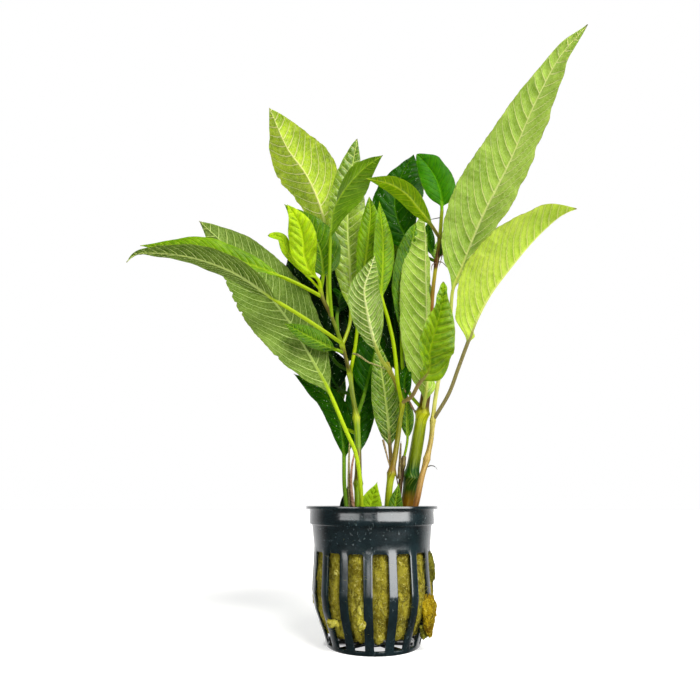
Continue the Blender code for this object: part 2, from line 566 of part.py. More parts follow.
def build_rockwool(planted):
    """The plug: it fills the pot to under the rim, swells into every slot and spills out at the right."""
    line = inner_line()
    levels = [PLUG_FOOT + (PLUG_TOP - PLUG_FOOT) * step / (PLUG_STEPS - 1) for step in range(PLUG_STEPS)]
    columns = RIB_COUNT * 2
    offset = FIRST_RIB_TURN

    def place(share, angle):
        level = levels[round(share * (PLUG_STEPS - 1))]
        column = round(angle / math.tau * columns) % columns
        radius = radius_at(line, level) - PLUG_CLEARANCE
        if column % 2 and SLOT_FOOT < level < SLOT_TOP:
            radius += PLUG_CLEARANCE + PLUG_BULGE
        turn = offset + column * math.tau / columns
        return Vector((radius * math.cos(turn), radius * math.sin(turn), level))

    plug = add_object("rockwool", loft(columns, PLUG_STEPS, place), "rockwool")

    tuft = bmesh.new()
    bmesh.ops.create_icosphere(tuft, subdivisions=2, radius=1)
    bmesh.ops.scale(tuft, vec=(TUFT_REACH, TUFT_HALF_WIDTH, TUFT_HALF_HEIGHT), verts=tuft.verts)
    bmesh.ops.translate(tuft, vec=(TUFT_RADIUS, 0, TUFT_HEIGHT), verts=tuft.verts)
    turn = Matrix.Rotation(slot_turn(TUFT_SLOT), 3, "Z")
    bmesh.ops.rotate(tuft, verts=tuft.verts, cent=(0, 0, 0), matrix=turn)
    boolean(plug, add_object("tuft_shape", tuft), "UNION")

    pockets = bmesh.new()
    for (x, y), radius in planted:
        made = bmesh.ops.create_cone(pockets, cap_ends=True, cap_tris=False, segments=POCKET_SIDES,
                                     radius1=radius, radius2=radius, depth=POCKET_DEPTH * 2)["verts"]
        bmesh.ops.translate(pockets, vec=(x, y, PLUG_TOP), verts=made)
    boolean(plug, add_object("pocket_cutter", pockets), "DIFFERENCE")


def main():
    clear_scene()
    stems = {}
    planted = []
    for stem in STEMS:
        stems[stem.name] = (stem, build_stem(stem))
        planted.append((stem.route[0][:2], stem.radius[0] + POCKET_CLEARANCE))
    build_rootlet(stems)
    for leaf in LEAVES:
        build_leaf(leaf, stems)
        if not leaf.stem:
            planted.append((leaf.route[0][:2], stalk_radius(leaf) + POCKET_CLEARANCE))
    build_pot()
    build_rockwool(planted)


main()
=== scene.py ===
"""A potted hygrophila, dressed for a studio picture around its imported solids.

The lists of stems and leaves are written in millimetres: x to the right, y to the back, z up,
with the origin at the middle of the pot's foot.
"""
import bisect
import json
import math
from collections import namedtuple

import bmesh
import bpy
import numpy as np
from mathutils import Matrix, Vector, noise


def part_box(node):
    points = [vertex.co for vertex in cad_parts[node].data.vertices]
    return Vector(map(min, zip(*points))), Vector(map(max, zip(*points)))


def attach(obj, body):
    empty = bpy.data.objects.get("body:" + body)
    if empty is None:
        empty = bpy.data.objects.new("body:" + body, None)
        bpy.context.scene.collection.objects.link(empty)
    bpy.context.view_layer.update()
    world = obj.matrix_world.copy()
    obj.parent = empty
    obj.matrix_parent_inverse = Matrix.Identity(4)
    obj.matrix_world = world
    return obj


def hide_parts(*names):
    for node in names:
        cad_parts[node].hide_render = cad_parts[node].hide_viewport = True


bl_info = {
    "name": "Potted Hygrophila",
    "version": (1, 0, 0),
    "blender": (4, 5, 0),
    "location": "3D View > Sidebar > Hygrophila",
    "description": "Builds a hygrophila in a slotted net pot with rockwool, on a pale studio stage",
    "category": "Add Mesh",
}

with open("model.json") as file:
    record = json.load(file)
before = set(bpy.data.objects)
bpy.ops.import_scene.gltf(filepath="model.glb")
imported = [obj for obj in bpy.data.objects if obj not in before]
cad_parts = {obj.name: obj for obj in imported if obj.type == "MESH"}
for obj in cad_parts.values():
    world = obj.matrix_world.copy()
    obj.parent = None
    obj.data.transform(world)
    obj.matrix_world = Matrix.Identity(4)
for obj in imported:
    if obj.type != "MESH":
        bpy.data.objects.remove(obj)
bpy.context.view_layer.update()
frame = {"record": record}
SLOT_OF = {row["node"]: row["material_slot"] for row in frame["record"]["subparts"]}
POT_LOW, POT_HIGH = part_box("net_pot")
WOOL_LOW, WOOL_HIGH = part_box("rockwool")

MM = 0.001

# Soft boxes a metre from the plant, as (degrees round from the front, width, foot, top, brightness),
# with the width and both heights in metres
STRIPS = [
    (-42, 0.66, 0.0, 0.065, 7.0),
    (-42, 0.66, 0.10, 0.30, 5.0),
    (-7, 0.24, -0.03, -0.002, 12.0),
    (-7, 0.24, 0.10, 0.30, 4.0),
    (38, 1.15, -0.12, 0.63, 8.5),
    (38, 0.60, -0.02, 0.02, 9.0),
]
FLOOR_SIZE = 3.0
FLOOR_GREY = 0.82
FLOOR_GLOW = 0.68
SUN_PLACE = (0.32, -0.52, 0.80)
SUN_SPREAD = math.radians(26)
SUN_COLOUR = (1.0, 0.98, 0.92)
MIRRORED_ROOM = 0.08
WHITE = (1, 1, 1, 1)

# Net pot, in millimetres; columns are the faces across each rib and each slot
RIB_COUNT = 16
RIB_COLUMNS = 6
SLOT_COLUMNS = 8
SECTOR = RIB_COLUMNS + SLOT_COLUMNS
SECTOR_TURN = math.tau / RIB_COUNT
FIRST_RIB_TURN = math.radians(-96.0)
RIB_CROWN = 0.06
SLOT_FOOT = 1.4
SLOT_TOP = 34.4
SLOT_RINGS = 34
SLOT_CORNER_DROP = 0.7
BAND_FOOT = 44.4
BAND_RADIUS = 25.4
HUB_RADIUS = 5.0
FLOOR_RING_RADIUS = 15.4
SPOKE_WIDTH = 1.8
EDGE_ROUNDING = 0.16
# The wall's outer line from the foot up to the band, as (radius, height)
WALL_LINE = [(18.2, 0.0), (18.65, 2.1), (19.7, 5.2), (21.4, 9.5), (23.1, 13.8), (24.0, 19.5),
             (23.8, 24.7), (23.4, 36.0), (24.4, 44.1)]
# The rings of the pot's skin: the floor's radii from the hub out, then the wall's heights
FLOOR_RADII = [0.05, 2.5, HUB_RADIUS, 8.0, 10.5, 13.0, FLOOR_RING_RADIUS, 17.0, 18.0]
WALL_HEIGHTS = [0.25, 0.8, *np.linspace(SLOT_FOOT, SLOT_TOP, SLOT_RINGS), 36.2, 38, 40, 42, 43.6]
HUB_RING = FLOOR_RADII.index(HUB_RADIUS)
FLOOR_EDGE_RING = FLOOR_RADII.index(FLOOR_RING_RADIUS)
FIRST_SLOT_RING = len(FLOOR_RADII) + WALL_HEIGHTS.index(SLOT_FOOT)
LAST_SLOT_RING = len(FLOOR_RADII) + WALL_HEIGHTS.index(SLOT_TOP)

# Rockwool, in millimetres
PLUG_FOOT = WOOL_LOW[2] / MM
PLUG_TOP = WOOL_HIGH[2] / MM
PLUG_INSET = 1.7
PLUG_SWELL = 1.1
PLUG_RINGS = 72
PLUG_COLUMNS = 18
FIBRE_RADIUS = 0.055
FIBRE_DROOP = 0.1
FIBRE_JOINTS = 6

# Stems, twigs and leaves, in millimetres, with the swelling at a stem's joint as a share of its radius
SWELL = 0.30
SWELL_REACH = 2.4
RIDGE = 0.16
RIDGE_REACH = 0.7
TWIG_SIDES = 12
STALK_RADIUS = 0.8
STALK_RING_SPACING = 1.2
SMALL_LEAF_WIDTH = 9.5
SMALL_STALK_RADIUS = 0.55
SLIMMEST_HALF = 0.12
RINGS_PER_VEIN = 8

Stem = namedtuple("Stem", "name radius joints route hues")
# radius is (at the foot, at the top); joints are the heights of the swollen nodes;
# hues are the stem's colours from the foot up, as (height, red, green, blue)
STEMS = [
    Stem("stem_left", (1.4, 0.85), (60, 87, 106, 119, 143),
         [(-5.8, -7, 36), (-5.8, -7, 46), (-5.6, -7, 60), (-5.5, -6, 73), (-6.2, -5, 87), (-7.8, -4, 97),
          (-9, -4, 106), (-12, -4, 118), (-17, -5, 132), (-22, -6, 143), (-22, -6, 146)],
         [(44, 112, 156, 6), (59, 148, 190, 16), (62, 92, 84, 30), (72, 116, 104, 40), (75, 128, 168, 10),
          (84, 156, 190, 20), (87, 206, 220, 50), (91, 122, 136, 24), (102, 160, 184, 60),
          (106, 190, 214, 30), (109, 104, 96, 26), (116, 120, 116, 34), (119, 182, 206, 30),
          (124, 128, 156, 20), (135, 118, 100, 40), (141, 130, 130, 40), (144, 178, 200, 30)]),
    Stem("stem_middle", (1.35, 0.9), (64, 92, 107),
         [(6, -6, 36), (6, -6, 46), (7, -7, 58), (8, -7, 64), (10, -7, 73), (12, -7, 85),
          (13, -8, 93), (10, -8, 103), (8, -8, 107), (7, -8, 111)],
         [(44, 132, 172, 6), (62, 196, 210, 20), (65, 150, 116, 34), (76, 150, 144, 26), (84, 156, 166, 20),
          (92, 196, 206, 20), (96, 120, 84, 40), (102, 150, 140, 50), (108, 206, 206, 60)]),
    Stem("stem_thick", (2.7, 0.85), (63, 90, 162, 174),
         [(14.8, 4.8, 36), (14.8, 4.8, 46), (16, 4, 56), (17, 3, 62), (19.5, 2, 74), (22, 1, 87),
          (24, 1, 96), (27, 2, 114), (29, 2, 141), (32, 1, 162), (34, 1, 173), (36, 1, 190)],
         [(44, 150, 84, 6), (53, 172, 124, 6), (58, 60, 104, 4), (66, 34, 92, 2), (71, 130, 152, 0),
          # the joint at 89 mm is painted lighter than its own pale colour, a painted light against the shade
          # of the leaf in front
          (84, 166, 186, 0), (89, 236, 244, 30), (93, 124, 96, 20), (128, 130, 88, 40), (140, 170, 116, 50),
          (150, 186, 156, 50), (157.5, 210, 200, 50), (159, 120, 72, 30), (166, 104, 64, 26),
          (173, 150, 150, 40), (180, 186, 200, 40), (190, 164, 194, 30)]),
    Stem("stem_right", (1.15, 0.85), (70, 86, 110),
         [(16.6, -4, 36), (16.6, -4, 46), (18.7, -5, 55), (20.4, -5, 62), (23.1, -4, 70), (25.2, -4, 78),
          (26.3, -4, 86), (27.7, -4, 95), (29.6, -4, 104), (32.4, -3, 115), (35, -1, 124)],
         [(44, 120, 52, 14), (50, 176, 108, 50), (58, 198, 152, 84), (76, 208, 180, 96), (88, 218, 210, 100),
          (96, 230, 232, 120), (120, 222, 230, 110)]),
    Stem("stem_dead_stub", (1.0, 0.9), (68,),
         [(10.8, 1.4, 36), (10.8, 1.4, 46), (12, 1, 58), (13.6, 0, 69), (14.2, -0.3, 72)],
         [(44, 48, 32, 10), (58, 84, 54, 24), (66, 60, 40, 16), (68, 140, 120, 64), (72, 96, 74, 40)]),
]

# The rootlet, strands and dead remnants, as (name, radius, points, darker colour, lighter colour).
# Only the rootlet has a CAD node, which it replaces
TWIGS = [
    ("rootlet", 0.30, [(22.4, -4, 66.4), (24.6, -4, 67.3), (26.2, -4, 67.0), (27.4, -4, 65.6)],
     (50, 50, 44), (104, 102, 88)),
    ("pink_strand", 0.80, [(-7.2, -8, 48), (-8.4, -8, 58), (-8.2, -8, 66), (-6.6, -7, 74)],
     (130, 76, 50), (206, 160, 120)),
    ("pale_strand", 0.70, [(-9.0, -7, 50), (-9.4, -7, 60), (-9.3, -6, 70), (-9.0, -5, 80)],
     (112, 104, 44), (184, 180, 104)),
    ("dead_strand", 0.42, [(9.1, -5, 70), (10.2, -4, 63.2), (11.4, -2, 57.6)], (64, 44, 14), (120, 92, 40)),
    ("dark_strand", 0.80, [(11.4, -3, 62), (12.0, -3.4, 70), (12.6, -3.4, 77.5)],
     (84, 68, 18), (146, 128, 50)),
    ("brown_petiole", 0.50, [(5, -4, 77.9), (6.1, -5, 72.8), (7.6, -7, 65.8)],
     (110, 74, 36), (196, 170, 110)),
    ("grey_remnant", 0.28, [(35.0, 1, 185.4), (33.6, 0, 184.6), (29.1, 2, 184.7)],
     (44, 40, 34), (96, 88, 70)),
    ("pale_petiole", 0.50,
     [(-7.4, -6, 115), (-5.4, -8, 113.8), (-1.1, -8, 110.7), (3.6, -8, 108.9), (7, -8, 107)],
     (130, 110, 50), (206, 204, 130)),
    ("tan_stub", 0.62, [(21.0, 1, 89.5), (18.9, 0, 91.2), (16.4, -4, 94.9), (14.1, -7, 99.5)],
     (104, 64, 34), (190, 156, 110)),
    ("brown_remnant", 0.35, [(31.8, 1, 163), (35.2, -1, 165.5), (37.6, -2, 168.4)],
     (60, 36, 14), (120, 80, 40)),
    ("hanging_remnant", 0.35, [(35.0, 0, 172), (34.6, -0.6, 165), (32.8, -1, 158.5)],
     (56, 44, 14), (104, 84, 36)),
    ("node_remnant", 0.30, [(31.8, 1, 162), (34.6, 0, 161.2), (37.0, 0, 158.2)],
     (60, 36, 14), (120, 80, 40)),
    ("node_shred", 0.28, [(31.6, 0, 161), (29.6, -1, 159.4), (29.2, -1, 156.0)],
     (84, 44, 14), (140, 90, 50)),
]

# Blender's noise_vector follows the clock until it gets a seed
TUFT_SEED = 7
# Tufts of wool, as (name, centre, half sizes, turn in degrees from the front, kind)
TUFTS = [
    ("spilled", (20.6, -11.4, 13.0), (2.3, 3.9, 7.4), 62, "bright"),
    ("spilled_foot", (18.4, -11.8, 7.0), (1.2, 2.6, 2.4), 56, "olive"),
    ("bulge", (22.4, -3.0, 26.6), (1.8, 4.4, 7.2), 82, "olive"),
    ("curled", (-15.4, -16.0, 10.4), (0.8, 3.1, 1.3), -40, "yellow"),
    ("flap", (-4.9, -21.6, 14.4), (0.8, 1.4, 5.2), -12, "yellow"),
]
# The darker, middle and lighter colour of each kind of wool
WOOLS = {
    "plug": ((122, 110, 14), (190, 178, 52), (246, 238, 146)),
    "olive": ((84, 84, 10), (136, 136, 36), (196, 194, 90)),
    "yellow": ((186, 172, 36), (232, 224, 90), (255, 250, 170)),
    "bright": ((134, 104, 0), (200, 172, 14), (244, 230, 90)),
}

Leaf = namedtuple("Leaf", "name look stem height route stalk width face fold belly laterals sweep quilt wave"
                  " lean base point hook nicks", defaults=((0, 0), 2.1, 2.1, None, ()))
# stem and height say where the stalk starts; stalk is its length up to the blade;
# face is the way the upper side looks, at the base and at the tip;
# fold is how far the left and right halves rise, in degrees;
# belly is where the blade is widest, as a share of its length;
# laterals is the number of side veins on each half and sweep how steeply they bend towards the tip;
# quilt and wave are the heights, in millimetres, of the swellings between them and of the margin's waves;
# lean moves the belly of the right and the left half; base and point are how slim those ends are;
# hook is how far the tip is bent aside; nicks are (half, share, width as a share, depth) of torn places,
# or of fuller places where the depth is less than nothing
BIG_LEFT_NICKS = [(-1, 0.70, 0.006, 0.9), (-1, 0.63, 0.008, 1.1), (-1, 0.575, 0.006, 0.8),
                  (-1, 0.52, 0.007, 1.0), (-1, 0.24, 0.008, 0.8), (1, 0.50, 0.10, -0.9),
                  (-1, 0.82, 0.10, -1.0)]
LEAVES = [
    Leaf("leaf_big_left", "dull", None, 0,
         [(-4.5, -14, 36), (-4.5, -14, 46), (-4.6, -16, 57), (-6.6, -17, 71), (-10.4, -16, 80),
          (-17.6, -12, 97), (-25.5, -6, 112.5), (-37, 0, 132), (-48, 5, 147.5), (-62, 9, 166),
          (-85, 11, 189)],
         62, 32, ((-0.3, 1, -0.1), (-0.1, 1, 0.2)), (5, 5), 0.58, 17, 1.5, 0.5, 0.8,
         lean=(-0.16, -0.08), point=1.9, nicks=BIG_LEFT_NICKS),
    Leaf("leaf_arching_left", "arched", "stem_left", 119.5,
         [(-18, -10, 122.5), (-28, -15, 128), (-42, -22, 135), (-58, -29, 144), (-74, -33, 148.5),
          (-88, -37, 148), (-94, -38, 147), (-97.5, -38, 144.5)],
         34, 15, ((0, 0.35, 1), (0, 0.2, 1)), (12, 12), 0.42, 15, 1.6, 0.55, 0.3,
         hook=(0.4, 0, -0.9)),
    Leaf("leaf_bright_left", "leafy", "stem_left", 141,
         [(-31, -10, 145.5), (-40, -12, 149), (-58, -15, 155), (-75, -17, 160), (-92, -18, 160),
          (-101, -18, 161)],
         20, 13.5, ((0, -0.85, 0.5), (0, -0.95, 0.3)), (14, 14), 0.45, 15, 1.3, 0.27, 0.3),
    Leaf("leaf_low_left", "dark", None, 0,
         [(-10, -10, 36), (-10, -10, 46), (-11.2, -8, 60), (-11.4, -4, 70), (-11.8, -1, 78), (-14, 2, 88.5),
          (-18.6, 5, 97), (-25.5, 8, 102.5), (-35, 11, 110)],
         36, 11, ((-0.4, -1, 0.2), (-0.3, -1, 0.4)), (8, 8), 0.45, 9, 0.9, 0.27, 0.4,
         nicks=[(-1, 0.04, 0.10, -2.2)]),
    Leaf("leaf_top_left", "glowing", "stem_left", 130,
         [(-19, 4, 140), (-20, 12, 163), (-22, 20, 193), (-32.5, 26, 225), (-44.2, 29, 245),
          (-56.2, 32, 275)],
         60, 35, ((0.2, 1, 0), (0.3, 1, 0.2)), (32, 4), 0.50, 11, 1.3, 0.6, 0.6,
         lean=(0.05, 0.0), nicks=[(-1, 0.60, 0.014, 1.4), (-1, 0.42, 0.16, 1.7), (1, 0.70, 0.14, 0.8)]),
    Leaf("leaf_young_left", "young", "stem_left", 147,
         [(-23, -7.2, 148.8), (-27.2, -11, 152.6), (-29.4, -12.5, 159), (-30, -13.5, 166),
          (-32.4, -14.5, 174.5), (-37.5, -15, 183)],
         5, 13, ((0, -1, 0.1), (0, -1, 0.2)), (12, 12), 0.50, 7, 0.9, 0.8, 1.0),
    Leaf("leaf_young_behind", "middling", "stem_left", 144,
         [(-21.5, 0, 156), (-24, 2, 171), (-32, 5, 185), (-42, 8, 197)],
         11, 19, ((0.1, -1, 0.1), (0, -1, 0.3)), (10, 10), 0.45, 9, 0.9, 0.45, 0.5,
         base=1.3),
    Leaf("leaf_small_curled", "young", "stem_left", 144.5,
         [(-27, -6.5, 150), (-32, -9, 154), (-37.5, -11, 161), (-40, -12, 167.5), (-46, -13, 168.5)],
         7, 5, ((0, -1, 0.2), (0, -1, 0.3)), (15, 15), 0.75, 6, 0.9, 0.27, 0.4),
    Leaf("leaf_upright_middle", "upright", "stem_left", 119,
         [(-9, 1, 131), (-8.5, 3, 141), (-9, 6, 163), (-10, 8, 185), (-9.5, 10, 206), (-5, 11, 238)],
         20, 19, ((0, -1, 0), (0, -1, 0.1)), (6, 6), 0.52, 18, 0.7, 0.6, 0.5,
         lean=(0.0, 0.10), base=1.3),
    Leaf("leaf_arching_middle", "middling", "stem_left", 131,
         [(-18, -8, 144), (-18, -10, 158), (-17.5, -12, 171), (-16.5, -14, 179), (-13, -17, 186),
          (-4, -23, 195), (5.5, -29, 199)],
         36, 19, ((0.7, 0.7, 0.1), (0.3, 0.5, 0.8)), (48, 5), 0.45, 9, 1.2, 0.27, 0.4),
    Leaf("leaf_front_ribbed", "ribbed", "stem_middle", 107,
         [(5, -14, 109), (3, -18, 111.5), (1, -21, 116), (-2, -25, 128), (-3, -26.5, 137), (-1, -27, 144),
          (1.5, -26, 152)],
         13, 14, ((0, 1, 0), (0, 1, -0.1)), (6, 6), 0.48, 14, 0.9, 0.9, 0.3),
    Leaf("leaf_bright_middle", "leafy", "stem_left", 106,
         [(-6.5, -1, 120), (-5, -1, 134), (-3, -2, 151), (-1, -2, 167), (1, -1, 186), (0.5, 1, 197)],
         34, 10, ((0, -1, 0.1), (0, -1, 0.2)), (8, 8), 0.55, 14, 0.9, 0.27, 0.3),
    Leaf("leaf_narrow_middle", "leafy", "stem_middle", 92,
         [(11, -12, 101), (10.5, -12.5, 109), (9.5, -12, 119), (7.5, -12, 129), (5, -11, 140),
          (5.5, -10, 153), (6, -9, 169), (5, -8, 189)],
         48, 11, ((0.5, -1, 0.1), (0.5, -1, 0.1)), (12, 12), 0.45, 13, 0.9, 0.36, 0.3),
    Leaf("leaf_arching_right", "crossing", "stem_thick", 174,
         [(28, -9, 177), (22, -15, 181), (17, -19, 185), (11, -22, 188), (5, -25, 188.5), (-2, -28, 188)],
         10, 9.5, ((0, 0.6, 0.8), (0, 0.5, 0.9)), (8, 8), 0.48, 8, 0.9, 0.18, 0.2),
    Leaf("leaf_top_dark", "dark", "stem_thick", 162,
         [(26, 12, 172), (19, 17, 185), (15, 22, 205), (19, 26, 224), (27, 30, 242)],
         20, 25, ((-0.2, -1, 0.1), (0, -1, 0.3)), (7, 7), 0.38, 9, 0.9, 0.7, 0.6,
         lean=(0.14, 0.0), nicks=[(-1, 0.60, 0.25, -2.6)]),
    Leaf("leaf_top_green", "fresh", "stem_thick", 191,
         [(36.2, 2, 198), (34.5, 3, 208), (31, 5, 217), (25.5, 6, 225)],
         3, 16.2, ((0, -1, 0.1), (-0.2, -1, 0.2)), (6, 6), 0.46, 6, 0.9, 0.11, 0.4,
         base=1.1, point=1.4, nicks=[(-1, 0.80, 0.12, -1.6)]),
    Leaf("leaf_big_right", "tall", "stem_thick", 90,
         [(23.5, -6, 97), (24, -9, 103), (24, -11, 115), (24.5, -12, 133), (25, -11, 152), (26, -7, 169),
          (26.2, -3, 185)],
         7, 25, ((0.3, 1, 0), (0.3, 1, 0.1)), (6, 90), 0.45, 14, 1.2, 0.7, 0.5,
         base=1.5, point=1.5, nicks=[(-1, 0.84, 0.14, -2.6)]),
    Leaf("leaf_front_right", "quilted", "stem_middle", 93,
         [(16.5, -14.5, 94.5), (18.8, -18.5, 98.5), (22.6, -21, 103.5), (23, -24.5, 111), (25.4, -27, 120),
          (27.6, -28, 128), (29.4, -28, 139.5)],
         16, 16.4, ((0.53, -1, 0.1), (0.4, -1, 0.1)), (28, 28), 0.40, 11, 0.5, 0.9, 0.9,
         base=1.4, point=1.7,
         nicks=[(-1, 0.80, 0.12, 1.0), (-1, 0.95, 0.05, -0.8), (1, 0.95, 0.05, -0.8),
                (-1, 0.30, 0.25, -1.3)]),
    Leaf("leaf_tall_right", "tall", "stem_right", 125,
         [(37, 0, 134), (39, 0, 148), (43, 0, 157), (54, -5, 183), (68, -12, 210), (80, -20, 237),
          (91, -26, 256), (103, -32, 268)],
         24, 36, ((-0.2, 1, 0.1), (-0.1, 1, 0.5)), (4, 40), 0.38, 20, 1.2, 0.9, 0.7,
         lean=(-0.09, 0.12), point=1.95, hook=(-0.4, 0, -0.2),
         nicks=[(-1, 0.05, 0.07, 3.6), (-1, 0.18, 0.1, 1.4), (1, 0.74, 0.12, -1.2),
                (1, 0.92, 0.05, 0.8), (-1, 0.92, 0.07, -1.5)]),
    Leaf("leaf_low_right", "broad", "stem_right", 86,
         [(33, -8, 97), (37.2, -10, 107.5), (41.8, -12, 119), (46.4, -14, 129), (52, -16, 139),
          (60, -18, 149.5), (69, -20, 160), (78, -22, 168.5), (88, -26, 176)],
         37, 35, ((-0.5, 1, 0.2), (-0.3, 1, 0.6)), (6, 74), 0.44, 15, 1.2, 0.8, 0.7,
         lean=(-0.03, 0.0), base=1.9, point=1.7, hook=(0.9, 0, -1.8),
         nicks=[(-1, 0.05, 0.07, -2.4), (-1, 0.89, 0.09, -2.0), (1, 0.75, 0.15, -1.6)]),
    Leaf("leaf_dark_behind_stem", "dark", "stem_left", 60,
         [(-5, -2, 70), (-5, 3, 82), (-4, 7, 98), (-2, 10, 110), (-1, 12, 123)],
         14, 14, ((0.2, -1, 0), (0.2, -1, 0.2)), (8, 8), 0.45, 9, 0.9, 0.36, 0.4),
    Leaf("leaf_veined_middle", "veined", "stem_middle", 64,
         [(8, -3.5, 73), (7.3, -3, 86), (6, -2.5, 100), (4.5, -2, 112), (3, -1, 124)],
         12, 12, ((0, -1, 0), (0, -1, 0.1)), (8, 8), 0.45, 11, 0.9, 0.6, 0.4,
         base=1.6),
    Leaf("leaf_dark_middle", "dark", "stem_left", 87,
         [(-3, 1, 97), (0, 5, 109), (3, 8, 123), (5, 11, 138)],
         14, 20, ((-0.1, -1, 0.1), (0, -1, 0.3)), (8, 8), 0.45, 8, 0.9, 0.45, 0.5),
    Leaf("leaf_short_left", "middling", "stem_left", 115.5,
         [(-17, -4.5, 118), (-27, -5.5, 123), (-38, -7, 128.5)],
         4, 10, ((0, -1, 0.3), (0, -1, 0.4)), (8, 8), 0.45, 9, 0.9, 0.5, 0.4),
    Leaf("leaf_shadow_left", "deep", "stem_left", 107,
         [(-15, 3, 113), (-20, 9, 122), (-30, 15, 143), (-41, 20, 172)],
         14, 27, ((0, -1, 0.1), (0.2, -1, 0.3)), (8, 8), 0.45, 9, 0.9, 0.54, 0.6,
         nicks=[(-1, 0.65, 0.25, -3.5)]),
    Leaf("leaf_shadow_low", "deep", "stem_left", 97,
         [(-13, 5, 101), (-16, 12, 106), (-20, 18, 115), (-26, 22, 128)],
         14, 19, ((0, -1, 0), (0, -1, 0.3)), (8, 8), 0.45, 7, 0.9, 0.45, 0.4),
    Leaf("leaf_shadow_middle", "deep", "stem_left", 110,
         [(-10.5, 4, 114), (-8.5, 14, 119), (-7, 22, 127), (-9, 28, 137), (-15, 31, 156), (-21, 34, 181)],
         14, 30, ((0, -1, 0.3), (0, -1, 0.2)), (8, 8), 0.45, 9, 0.9, 0.54, 0.6),
    Leaf("leaf_narrow_right", "middling", "stem_thick", 91,
         [(17, -2.5, 98), (14.5, -4, 106), (14, -4, 120), (15, -4, 140), (18.5, -4, 160), (22, -3, 180)],
         34, 14, ((0.2, -1, 0.1), (0.3, -1, 0.1)), (8, 8), 0.60, 12, 0.9, 0.36, 0.4),
    Leaf("leaf_dark_inner", "deep", "stem_middle", 101,
         [(13.5, -4.5, 107), (12.5, 1, 118), (11.5, 5, 134), (11, 7, 150), (11.5, 9, 168)],
         12, 15, ((0, -1, 0.1), (0, -1, 0.2)), (8, 8), 0.50, 11, 0.9, 0.36, 0.4),
    Leaf("leaf_small_dark_right", "dark", "stem_middle", 91,
         [(14.2, -6, 98), (15.0, -6.5, 105), (18.0, -7, 111)],
         3, 6, ((0, -1, 0.2), (0, -1, 0.4)), (8, 8), 0.45, 5, 0.9, 0.18, 0.3),
    Leaf("leaf_stub", "middling", "stem_dead_stub", 70,
         [(15.6, -0.6, 78), (15.7, -0.8, 87), (15.6, -0.6, 98)],
         9, 6, ((0, -1, 0), (0, -1, 0.1)), (8, 8), 0.45, 6, 0.9, 0.18, 0.3),
    Leaf("leaf_pot_front", "smooth", None, 0,
         [(-1, -8, 36), (-1, -8, 44), (-0.5, -8.5, 52), (2, -10, 60.5)],
         9, 9, ((0, -1, 0), (0, -1, 0.1)), (10, 10), 0.38, 5, 0.9, 0.18, 0.2),
    Leaf("leaf_pot_right", "middling", None, 0,
         [(9, -11.5, 36), (9, -11.5, 44), (9, -11.5, 52), (10.5, -12, 60)],
         9, 6, ((0, -1, 0), (0, -1, 0.1)), (10, 10), 0.38, 5, 0.9, 0.18, 0.2),
    Leaf("leaf_pot_left", "deep", None, 0,
         [(-10, -3, 36), (-10, -3, 44), (-10, -3, 51), (-10, -3, 59)],
         9, 6.5, ((0, -1, 0), (0, -1, 0.1)), (10, 10), 0.38, 5, 0.9, 0.18, 0.2),
    Leaf("leaf_tip_pair_left", "dark", "stem_thick", 163,
         [(30.4, 1, 165.5), (28.8, 2, 172), (29.2, 2.5, 184)],
         3, 6.5, ((0, -1, 0.2), (0, -1, 0.3)), (10, 10), 0.45, 5, 0.9, 0.18, 0.2),
    Leaf("leaf_tip_pair_right", "dark", "stem_thick", 164,
         [(35, 3.5, 168), (36, 4.5, 172), (36, 4.5, 176)],
         2, 4, ((0, -1, 0.2), (0, -1, 0.3)), (10, 10), 0.45, 5, 0.9, 0.18, 0.2),
    Leaf("leaf_back_left", "middling", "stem_left", 80,
         [(-12, 3, 85), (-19, 21, 105), (-34, 42, 127), (-52, 60, 146), (-64, 75, 154)],
         20, 24, ((-0.2, -0.3, 1), (-0.3, 0.2, 1)), (12, 12), 0.42, 15, 0.9, 0.63, 0.8),
    Leaf("leaf_back_arching", "dark", "stem_left", 125,
         [(-15, 6, 136), (-14, 22, 151), (-13, 44, 167), (-13, 68, 170), (-14, 86, 160)],
         18, 21, ((0, -0.6, 1), (0, 0.6, 1)), (10, 10), 0.42, 14, 0.9, 0.54, 0.7),
    Leaf("leaf_back_low", "dark", "stem_middle", 96,
         [(14, 3, 105), (13.5, 16, 120), (9, 40, 141), (4, 64, 148), (2, 80, 144)],
         18, 20, ((0, -0.6, 1), (0, 0.5, 1)), (10, 10), 0.42, 14, 0.9, 0.54, 0.7),
    Leaf("leaf_back_right", "middling", "stem_thick", 126,
         [(28, 10, 136), (26, 24, 152), (22, 44, 170), (18, 66, 180), (16, 84, 178)],
         18, 22, ((0, -0.6, 1), (0, 0.5, 1)), (10, 10), 0.42, 15, 0.9, 0.54, 0.7),
    Leaf("leaf_back_upright", "leafy", "stem_thick", 136,
         [(25, 8, 146), (17, 20, 166), (8, 34, 189), (0, 48, 209), (-5, 60, 225)],
         26, 18, ((0, -1, 0.6), (0, -0.6, 1)), (8, 8), 0.45, 13, 0.9, 0.45, 0.6),
    Leaf("leaf_back_far_right", "tall", "stem_thick", 143,
         [(31.2, 10, 152), (34.6, 20, 166), (39.5, 28, 181), (47.5, 36, 193), (62, 53, 208), (73, 68, 224)],
         38, 20, ((-0.4, -0.4, 1), (-0.3, 0, 1)), (10, 10), 0.42, 15, 0.9, 0.54, 0.7),
]

Look = namedtuple("Look", "upper upper_light under under_light vein stalk"
                  " rough shine glow veins net drops tip", defaults=(0.0,))
